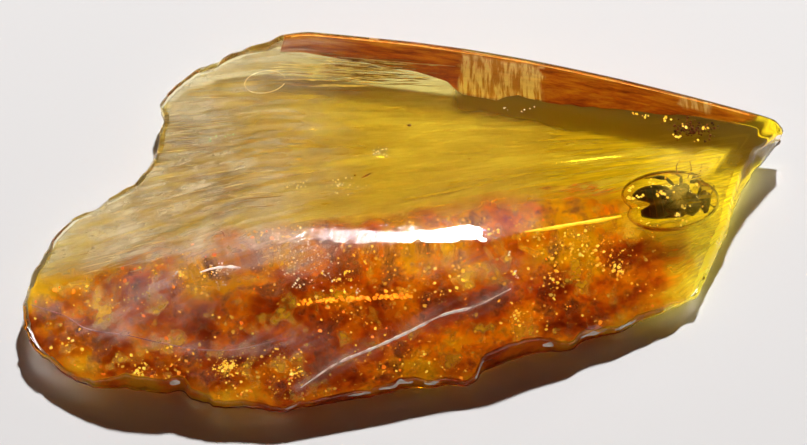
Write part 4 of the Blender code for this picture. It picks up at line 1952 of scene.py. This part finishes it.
@dataclass
class RimChips:
    """Small whitish flakes left along the broken front edge."""

    spans: Outline = (
        (-2.7, -1.5), (-1.2, 0.5), (0.9, 1.7), (3.3, 3.8), (6.5, 7.1), (8.3, 9.5), (9.9, 11.0),
        (-5.6, -4.9), (-11.0, -10.4))
    around: int = 900
    gap: float = 0.05
    thickness: float = 0.03

    def build(self) -> Piece:
        """Make each flake as a thin ragged strip on the inside of the wall.

        Returns:
            The piece.
        """
        rim = FORM.outline(self.around)
        inward = ring_average(FORM.inward(rim), 2)
        front = rim[:, 1] < FRONT
        pile = Pile()
        for left, right in self.spans:
            chosen = front & (rim[:, 0] > left) & (rim[:, 0] < right)
            path, way = rim[chosen], inward[chosen]
            order = np.argsort(path[:, 0])
            path, way = path[order] + way[order] * self.gap, way[order]
            x, y = path.T
            low, high = FORM.base(x, y) + 0.12, FORM.top(x, y) - 0.08
            middle = low + (high - low) * (0.35 + 0.4 * smooth_noise(x, y, 0.5, 121))
            taper = np.sin(np.linspace(0.1, math.pi - 0.1, len(x))) ** 0.6
            half = np.maximum(high - low, 0.1) * taper * (0.10 + 0.28 * smooth_noise(x, y, 0.25, 122))
            height = np.stack([middle - half, middle + half])
            wide = np.broadcast_to(x, height.shape), np.broadcast_to(y, height.shape)
            flat = np.stack([*wide, height], axis=2)
            step = np.concatenate([way * self.thickness, np.zeros((len(x), 1))], axis=1)
            points = np.vstack([flat.reshape(-1, 3), (flat + step).reshape(-1, 3)])
            pile.add((points, strip_shell(2, len(x))))
        # the chips glow faintly: painted light
        finish = SpecFinish("chalky_chip", (0.62, 0.50, 0.38), (0.92, 0.88, 0.80), 0.7, 0.15)
        return pile.build("rim_chips", finish.material(), smooth=False)


@dataclass
class Capsule:
    """Thin glassy film that stands round the bee like a bubble."""

    thickness: float = 0.015
    shrink: float = 0.97
    wave: float = 0.016
    grid: tuple[int, int] = (64, 40)
    glint_count: int = 30
    glint_spread: Point = (1.0, 0.7, 0.8)
    glint_lean: Point = (-0.1, 0.1, 0.45)
    glint_places: Clusters = (
        (10.62, -1.24, 0.10, 5), (11.04, -1.12, 0.09, 5), (12.04, -0.88, 0.16, 9), (12.6, -1.51, 0.10, 7),
        (11.66, -0.28, 0.09, 4), (12.93, -1.06, 0.12, 5), (11.33, -1.97, 0.2, 4))
    glint_level: float = 2.75
    seed: int = 41

    def build(self) -> list[Piece]:
        """Make the film as a closed double wall, and the painted gold glints on its inside.

        Returns:
            The film and the glints.
        """
        turn = math.radians(FORM.pocket_turn)
        spin = np.array([[math.cos(turn), math.sin(turn), 0.0], [-math.sin(turn), math.cos(turn), 0.0],
                         [0.0, 0.0, 1.0]])
        outer = np.array(FORM.pocket_radii) * self.shrink
        return [self.film(outer, spin), self.glints(outer, spin)]

    def film(self, outer: np.ndarray, spin: np.ndarray) -> Piece:
        """Closed double wall with a slight wave.

        Args:
            outer: Half sizes of the film's outside.
            spin: Turn of the pocket.

        Returns:
            The piece.
        """
        pile = Pile()
        for radii, inside in ((outer, False), (outer - self.thickness, True)):
            points, faces = ellipsoid_points(tuple(radii), *self.grid)
            wave = smooth_noise(points[:, 0] + points[:, 2], points[:, 1], 0.7, 111) - 0.5
            points = points * (1.0 + self.wave * wave)[:, None]
            faces = [tuple(reversed(face)) for face in faces] if inside else faces
            pile.add((points @ spin + np.array(FORM.pocket_centre), faces))
        return pile.build("capsule_film", CapsuleFinish().material())

    def glints(self, outer: np.ndarray, spin: np.ndarray) -> Piece:
        """Painted glints: glowing gold flakes on the inside of the film and over the bee.

        Args:
            outer: Half sizes of the film's outside.
            spin: Turn of the pocket.

        Returns:
            The piece.
        """
        rng = np.random.default_rng(self.seed)
        pile = Pile()
        centre = np.array(FORM.pocket_centre)
        for _ in range(self.glint_count):
            way = rng.normal(size=3) * self.glint_spread + self.glint_lean
            way /= np.linalg.norm(way)
            place = way * outer * rng.uniform(0.80, 0.9)
            pile.add(flake(place @ spin + centre, rng.uniform(0.03, 0.10), THIN, rng))
        for x, y, spread, number in self.glint_places:
            for _ in range(number):
                place = np.array([x + rng.normal() * spread, y + rng.normal() * spread * 0.35, 0.0])
                y_shift = GLANCE * (FORM.top(place[:1], place[1:2])[0] - self.glint_level)
                place[1:] = place[1] + y_shift, self.glint_level + rng.normal() * 0.05
                pile.add(flake(place, rng.uniform(0.04, 0.11), THIN, rng))
        # painted glints of the glassy pocket around the bee
        finish = SpecFinish("capsule_glint", (0.90, 0.50, 0.03), (1.0, 0.86, 0.30), 0.25, 0.75)
        return pile.build("capsule_glints", finish.material(), smooth=False)


@dataclass
class Bee:
    """Small stingless bee on its side in the pocket, head to the pointed end."""

    place: Point = (12.47, -0.12, 1.95)
    roll: float = 58.0
    turn: float = 7.0
    thorax: Point = (0.58, 0.0, 0.04)
    thorax_radii: Point = (0.58, 0.52, 0.5)
    head: Point = (1.36, 0.0, -0.08)
    head_radii: Point = (0.32, 0.52, 0.44)
    waist: float = 0.08
    abdomen_length: float = 1.92
    abdomen_plates: int = 6
    abdomen_flatten: float = 0.88
    abdomen_grid: tuple[int, int] = (72, 36)
    abdomen_sink: float = 0.02
    abdomen_swell: Outline = (
        (0.0, 0.10), (0.06, 0.26), (0.16, 0.42), (0.33, 0.50), (0.52, 0.52), (0.70, 0.45), (0.85, 0.30),
        (0.95, 0.14), (1.0, 0.0))
    legs: tuple[tuple[Point, Point, Point, Point], ...] = (
        ((0.95, 0.2, -0.32), (1.2, 0.55, -0.55), (1.35, 0.4, -0.85), (1.55, 0.25, -0.98)),
        ((0.55, 0.22, -0.38), (0.6, 0.68, -0.5), (0.4, 0.6, -0.85), (0.15, 0.45, -1.0)),
        ((0.2, 0.2, -0.36), (-0.1, 0.72, -0.4), (-0.6, 0.66, -0.62), (-1.15, 0.45, -0.8)))
    leg_radii: tuple[tuple[float, float, float], ...] = (
        (0.085, 0.065, 0.04), (0.085, 0.065, 0.04), (0.095, 0.115, 0.055))
    feeler: tuple[Point, ...] = (
        (1.58, 0.12, -0.05), (1.82, 0.34, -0.02), (1.95, 0.5, -0.32), (1.9, 0.5, -0.6))
    wing_outline: Outline = (
        (0.0, 0.0), (-0.5, 0.16), (-1.2, 0.22), (-1.9, 0.1), (-2.05, -0.12), (-1.8, -0.34),
        (-1.2, -0.4), (-0.5, -0.26))
    wing_root: Point = (0.42, 0.3, 0.36)
    wing_turn: float = -9.0
    wing_tilt: float = 24.0
    wing_veins: tuple[Outline, ...] = (
        ((-0.05, 0.0), (-0.5, 0.12), (-1.2, 0.17), (-1.85, 0.07)),
        ((-0.1, -0.02), (-0.6, 0.0), (-1.2, 0.02), (-1.7, -0.06)),
        ((-0.2, -0.06), (-0.6, -0.14), (-1.0, -0.26), (-1.2, -0.34)),
        ((-1.2, 0.17), (-1.28, 0.06), (-1.25, -0.12), (-1.1, -0.28)),
        ((-0.62, 0.0), (-0.66, -0.08), (-0.62, -0.16)))
    foot_joints: int = 4
    hair_count: int = 520
    seed: int = 5

    def build(self) -> list[Piece]:
        """Make every piece of the bee.

        Returns:
            The seven pieces.
        """
        cuticle = CuticleFinish().material()
        shine = CuticleFinish("dark_eye", (0.02, 0.012, 0.006), (0.06, 0.03, 0.012),
                              (0.30, 0.15, 0.03), 0.12).material()
        pieces = [self.abdomen().build("bee_abdomen", cuticle),
                  self.trunk().build("bee_thorax_and_head", cuticle),
                  self.eyes().build("bee_eyes", shine),
                  self.limbs().build("bee_legs_and_feelers", cuticle),
                  self.wings().build("bee_wings", WingFinish().material(), smooth=False),
                  self.veins().build("bee_wing_veins", cuticle),
                  self.hairs().build("bee_hairs", SpecFinish(
                      "golden_hair", (0.20, 0.10, 0.02), (0.62, 0.40, 0.08), 0.4).material())]
        for piece in pieces:
            self.lay(piece)
            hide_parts("insect")
        return pieces

    def lay(self, piece: Piece) -> None:
        """Move a piece from the bee's own coordinates to its place in the pocket.

        Args:
            piece: Object to move.
        """
        shift = Vector(FORM.shift() * MM)
        pose = (Matrix.Translation(Vector(self.place) * MM + shift)
                @ Matrix.Rotation(math.radians(self.turn), 4, "Z")
                @ Matrix.Rotation(math.radians(self.roll), 4, "X") @ Matrix.Translation(-shift))
        piece.data.transform(pose)

    def abdomen(self) -> Pile:
        """Overlapping plates that narrow to the tip.

        Returns:
            The joined forms.
        """
        pile = Pile()
        along, swell = zip(*self.abdomen_swell)
        rings, sides = self.abdomen_grid
        share = np.linspace(0.0, 1.0, rings)
        local = (share * self.abdomen_plates) % 1.0
        radius = np.interp(share, along, swell) * (0.93 + 0.08 * local ** 0.6)
        angles = np.arange(sides) * 2 * math.pi / sides
        x = np.repeat(self.waist - share * self.abdomen_length, sides)
        y = np.outer(radius, np.cos(angles)).ravel()
        z = np.outer(radius * self.abdomen_flatten, np.sin(angles)).ravel() - self.abdomen_sink
        pile.add((np.column_stack([x, y, z]), [tuple(reversed(f)) for f in ring_faces(rings, sides)]))
        edge = np.clip((local - 0.78) / 0.15, 0.0, 1.0) * np.clip((1.0 - local) / 0.05, 0.0, 1.0)
        pile.tones[0] = np.repeat(edge * 0.22, sides)
        return pile

    def trunk(self) -> Pile:
        """Thorax with its shield, neck, head and mouth parts.

        Returns:
            The joined forms.
        """
        pile = Pile()
        pile.add(ball(self.thorax, self.thorax_radii, 32, 22))
        pile.add(ball((0.16, 0.0, 0.3), (0.24, 0.32, 0.17), 20, 14), 0.25)
        pile.add(ball((1.05, 0.0, -0.03), (0.2, 0.2, 0.2), 14, 10))
        pile.add(ball(self.head, self.head_radii, 28, 20))
        pile.add(ball((1.60, 0.0, -0.22), (0.10, 0.22, 0.17), 16, 12), 0.35)
        pile.add(ball((1.48, 0.0, -0.46), (0.16, 0.22, 0.14), 16, 12), 0.15)
        for side in Side:
            pile.add(ball((0.62, side.value * 0.43, 0.24), (0.16, 0.10, 0.09), 12, 9), 0.2)
            pile.add(tube([(1.48, side.value * 0.2, -0.42, 0.06), (1.6, side.value * 0.14, -0.52, 0.05),
                           (1.64, side.value * 0.03, -0.58, 0.02)], 8), 0.3)
            pile.add(ball((1.5, side.value * 0.1, 0.27), (0.05, 0.05, 0.04), 8, 6), 0.6)
        return pile

    def eyes(self) -> Pile:
        """Long eyes at the sides of the head.

        Returns:
            The joined forms.
        """
        pile = Pile()
        for side in Side:
            pile.add(ball((1.38, side.value * 0.42, 0.0), (0.18, 0.13, 0.3), 20, 16), 0.2)
        return pile

    def limbs(self) -> Pile:
        """Jointed legs and feelers of both sides.

        Returns:
            The joined forms.
        """
        pile = Pile()
        for side in Side:
            mirror = np.array([1.0, side.value, 1.0])
            for (hip, knee, heel, toe), radii in zip(self.legs, self.leg_radii):
                joints = [np.array(p) * mirror for p in (hip, knee, heel, toe)]
                for first, second, radius in zip(joints[:2], joints[1:3], radii):
                    pile.add(self.segment(first, second, radius))
                pile.add(ball(tuple(joints[1]), (radii[0] * 0.8,) * 3, 8, 6), 0.3)
                self.foot(pile, joints[2], joints[3], radii[2])
            knots = [np.array(p) * mirror for p in self.feeler]
            pile.add(self.segment(knots[0], knots[1], 0.035), 0.3)
            path = smooth_path(np.array(knots[1:]), 5)
            for first, second in zip(path, path[1:]):
                pile.add(self.segment(first, second, 0.042), 0.12)
        return pile

    @staticmethod
    def segment(first: np.ndarray, second: np.ndarray, radius: float) -> Mesh:
        """One joint of a limb, thickest at its middle.

        Args:
            first: Its start.
            second: Its end.
            radius: Its largest radius.

        Returns:
            Vertex positions and faces.
        """
        rows = [(*(first + (second - first) * share), radius * size)
                for share, size in ((0.0, 0.62), (0.3, 0.95), (0.65, 1.0), (1.0, 0.66))]
        return tube(rows, 10, 3)

    def foot(self, pile: Pile, heel: np.ndarray, toe: np.ndarray, radius: float) -> None:
        """Add short joints and two claws.

        Args:
            pile: Where the foot goes.
            heel: Its start.
            toe: Its end.
            radius: Its largest radius.
        """
        steps = self.foot_joints
        for step in range(steps):
            first = heel + (toe - heel) * step / steps * 0.9
            second = heel + (toe - heel) * (step + 0.9) / steps * 0.9
            pile.add(self.segment(first, second, radius * (1.0 - 0.12 * step)), 0.15)
        ahead = (toe - heel) / np.linalg.norm(toe - heel)
        for side in Side:
            spread = np.cross(ahead, (0.0, 0.0, 1.0)) * 0.04 * side.value
            start = toe - ahead * 0.08
            pile.add(tube([(*start, 0.012), (*(toe - ahead * 0.02 + spread), 0.01),
                           (*(toe + spread * 0.8 - (0, 0, 0.02)), 0.005)], 5, 2), 0.3)

    def wing_pose(self, side: Side) -> Matrix:
        """Place of one folded wing on the thorax."""
        return (Matrix.Diagonal((1.0, side.value, 1.0, 1.0)) @ Matrix.Translation(self.wing_root)
                @ Matrix.Rotation(math.radians(self.wing_turn), 4, "Y")
                @ Matrix.Rotation(math.radians(-self.wing_tilt), 4, "X"))

    def wings(self) -> Pile:
        """Thin folded fore wings, with a smaller hind wing under each.

        Returns:
            The joined forms.
        """
        pile = Pile()
        loop = np.array(self.wing_outline + self.wing_outline[:1])
        rim = smooth_path(loop, 6)[:-1]
        for side in Side:
            pose = np.array(self.wing_pose(side))
            for scale, level in ((1.0, 0.03), (0.68, 0.0)):
                pile.add(self.plate(rim * scale, level, pose, side))
        return pile

    @staticmethod
    def plate(rim: np.ndarray, level: float, pose: np.ndarray, side: Side) -> Mesh:
        """Thin closed plate with a given rim.

        Args:
            rim: Outline of the wing.
            level: Its height over the wing root.
            pose: Place of the wing.
            side: Side of the bee.

        Returns:
            Vertex positions and faces.
        """
        count, rings = len(rim), 6
        middle = rim.mean(axis=0)
        flat = [middle + (rim - middle) * (1 - ring / rings) for ring in range(rings)] + [middle[None, :]]
        flat = np.vstack(flat)
        wave = (smooth_noise(flat[:, 0], flat[:, 1], 0.3, 81) - 0.5) * 0.03
        top = np.column_stack([flat, wave + level + 0.012])
        under = np.column_stack([flat, wave + level])
        points = np.vstack([top, under])
        size = len(flat)
        faces = [tuple(f) for f in ring_faces(rings, count)]
        faces += [((rings - 1) * count + i, (rings - 1) * count + (i + 1) % count, rings * count)
                  for i in range(count)]
        closed = faces + [tuple(i + size for i in reversed(f)) for f in faces]
        closed += [((i + 1) % count, i, i + size, (i + 1) % count + size) for i in range(count)]
        if side is Side.LEFT:
            closed = [tuple(reversed(f)) for f in closed]
        laid = np.column_stack([points, np.ones(len(points))]) @ pose.T
        return laid[:, :3], closed

    def veins(self) -> Pile:
        """Raised veins of the fore wings.

        Returns:
            The joined forms.
        """
        pile = Pile()
        for side in Side:
            pose = np.array(self.wing_pose(side))
            for vein in self.wing_veins:
                rows = []
                for x, y in vein:
                    place = pose @ np.array([x, y, 0.045, 1.0])
                    rows.append((*place[:3], 0.013))
                pile.add(tube(rows, 5, 4), 0.3)
        return pile

    def hairs(self) -> Pile:
        """Short hairs over the back, the head and the hind legs.

        Returns:
            The joined forms.
        """
        rng = np.random.default_rng(self.seed)
        pile = Pile()
        roots = ((self.thorax, self.thorax_radii, 0.6), (self.head, self.head_radii, 0.25),
                 ((-1.0, 0.0, -0.02), (0.92, 0.5, 0.45), 0.15))
        for centre, radii, share in roots:
            for _ in range(int(self.hair_count * share)):
                way = rng.normal(size=3)
                way /= np.linalg.norm(way)
                root = np.array(centre) + way * np.array(radii) * 0.99
                lean = (way + rng.normal(size=3) * 0.3 + (-0.5, 0.0, 0.0)) * rng.uniform(0.04, 0.075)
                pile.add(tube([(*root, THIN), (*(root + lean), 0.004)], 3, 1))
        return pile


@dataclass
class Studio:
    """Paper floor, soft room light, one window light and the camera."""

    floor_size: float = 4.0
    floor_drop: float = 0.00002
    room: Colour = (1.0, 0.40, 0.22)
    room_strength: float = 0.052
    paper: Colour = (0.82, 0.82, 0.82)
    paper_roughness: float = 0.9
    paper_gloss: float = 0.1
    lamp_distance: float = 0.5
    sun_elevation: float = 46.0
    sun_azimuth: float = -12.0
    sun_size: Pair = (0.022, 0.022)
    sun_power: float = 3.2
    window_elevation: float = 52.0
    window_azimuth: float = 6.0
    window_size: Pair = (0.16, 0.12)
    window_power: float = 5.0
    glint_elevation: float = 54.0
    glint_azimuth: float = -1.0
    glint_size: Pair = (0.020, 0.14)
    glint_power: float = 0.8
    camera_elevation: float = 60.0
    camera_distance: float = 0.6
    view_width: float = 0.0381

    def build(self) -> None:
        """Make everything that isn't part of the object."""
        self.lay_paper()
        self.light()
        self.camera()

    def lay_paper(self) -> None:
        """Plain pale floor."""
        bm = bmesh.new()
        bmesh.ops.create_grid(bm, x_segments=2, y_segments=2, size=self.floor_size / 2)
        mesh = bpy.data.meshes.new("paper_floor")
        bm.to_mesh(mesh)
        bm.free()
        floor = bpy.data.objects.new("paper_floor", mesh)
        floor.location.z = -self.floor_drop
        bpy.context.scene.collection.objects.link(floor)
        recipe = Recipe("plain_paper")
        recipe.set(Base_Color=(*self.paper, 1.0), Roughness=self.paper_roughness,
                   Specular_IOR_Level=self.paper_gloss)
        floor.data.materials.append(recipe.material)

    def light(self) -> None:
        """Even room light, and lamps behind the chip for its shadow, its depth and its crest."""
        world = bpy.data.worlds.new("room")
        bpy.context.scene.world = world
        world.use_nodes = True
        background = world.node_tree.nodes["Background"]
        background.inputs["Color"].default_value = (*self.room, 1.0)
        background.inputs["Strength"].default_value = self.room_strength
        window = self.lamp("window_light", self.window_azimuth, self.window_elevation,
                           self.window_size, self.window_power)
        window.visible_glossy = False
        window.visible_diffuse = False
        sun = self.lamp("sun_light", self.sun_azimuth, self.sun_elevation, self.sun_size,
                        self.sun_power)
        sun.visible_glossy = False
        sun.visible_transmission = False
        glint = self.lamp("glint_light", self.glint_azimuth, self.glint_elevation,
                          self.glint_size, self.glint_power)
        glint.data.shape = "ELLIPSE"
        glint.visible_diffuse = False
        glint.visible_transmission = False

    def lamp(self, name: str, azimuth: float, elevation: float, size: Pair,
             power: float) -> Piece:
        """Hang a rectangular lamp behind the chip.

        Args:
            name: Name of the lamp.
            azimuth: Turn from straight behind towards the left, in degrees.
            elevation: Height over the floor, in degrees.
            size: Width and height in metres.
            power: Power in watts.

        Returns:
            The lamp's object.
        """
        lamp = bpy.data.lights.new(name, "AREA")
        lamp.shape = "RECTANGLE"
        lamp.size, lamp.size_y = size
        lamp.energy = power
        hung = bpy.data.objects.new(name, lamp)
        towards = direction(180.0 + azimuth, elevation)
        hung.location = towards * self.lamp_distance
        hung.rotation_euler = towards.to_track_quat("Z", "Y").to_euler()
        bpy.context.scene.collection.objects.link(hung)
        return hung

    def camera(self) -> None:
        """Camera in front of the chip, looking down on it."""
        lens = bpy.data.cameras.new("camera")
        lens.lens_unit = "FOV"
        lens.angle = 2 * math.atan(self.view_width / 2 / self.camera_distance)
        lens.clip_start = 0.01
        camera = bpy.data.objects.new("camera", lens)
        towards = direction(0.0, self.camera_elevation)
        aim = Vector(FORM.shift() * MM)
        camera.location = aim + towards * self.camera_distance
        camera.rotation_euler = towards.to_track_quat("Z", "Y").to_euler()
        bpy.context.scene.collection.objects.link(camera)
        bpy.context.scene.camera = camera


def direction(azimuth: float, elevation: float) -> Vector:
    """Unit direction towards a place round the chip; azimuth 0 is its front, -Y."""
    turn, lift = math.radians(azimuth), math.radians(elevation)
    return Vector((math.sin(turn) * math.cos(lift), -math.cos(turn) * math.cos(lift), math.sin(lift)))


def main() -> None:
    """Build every piece in order and report each."""
    logging.basicConfig(level=logging.INFO, format="%(name)s: %(message)s")
    scene = bpy.context.scene
    scene.view_settings.view_transform = "Standard"
    scene.cycles.sample_clamp_indirect = 0.0
    scene.cycles.transparent_max_bounces = 24  # rays cross many thin sheets inside the chip
    pieces = [ClearAmber().build(), StrawVeil().build(), *FrontCrust().build(), RimSkin().build(),
              *BackBand().build(), *WornFilm().build(), *Spangles().build(), *Inclusions().build(),
              RimChips().build(), *Capsule().build(), *Bee().build()]
    for piece in pieces:
        LOG.info("%s: %d faces", piece.name, len(piece.data.polygons))
    Studio().build()
    LOG.info("paper, light and camera are in place")


if __name__ == "__main__":
    main()
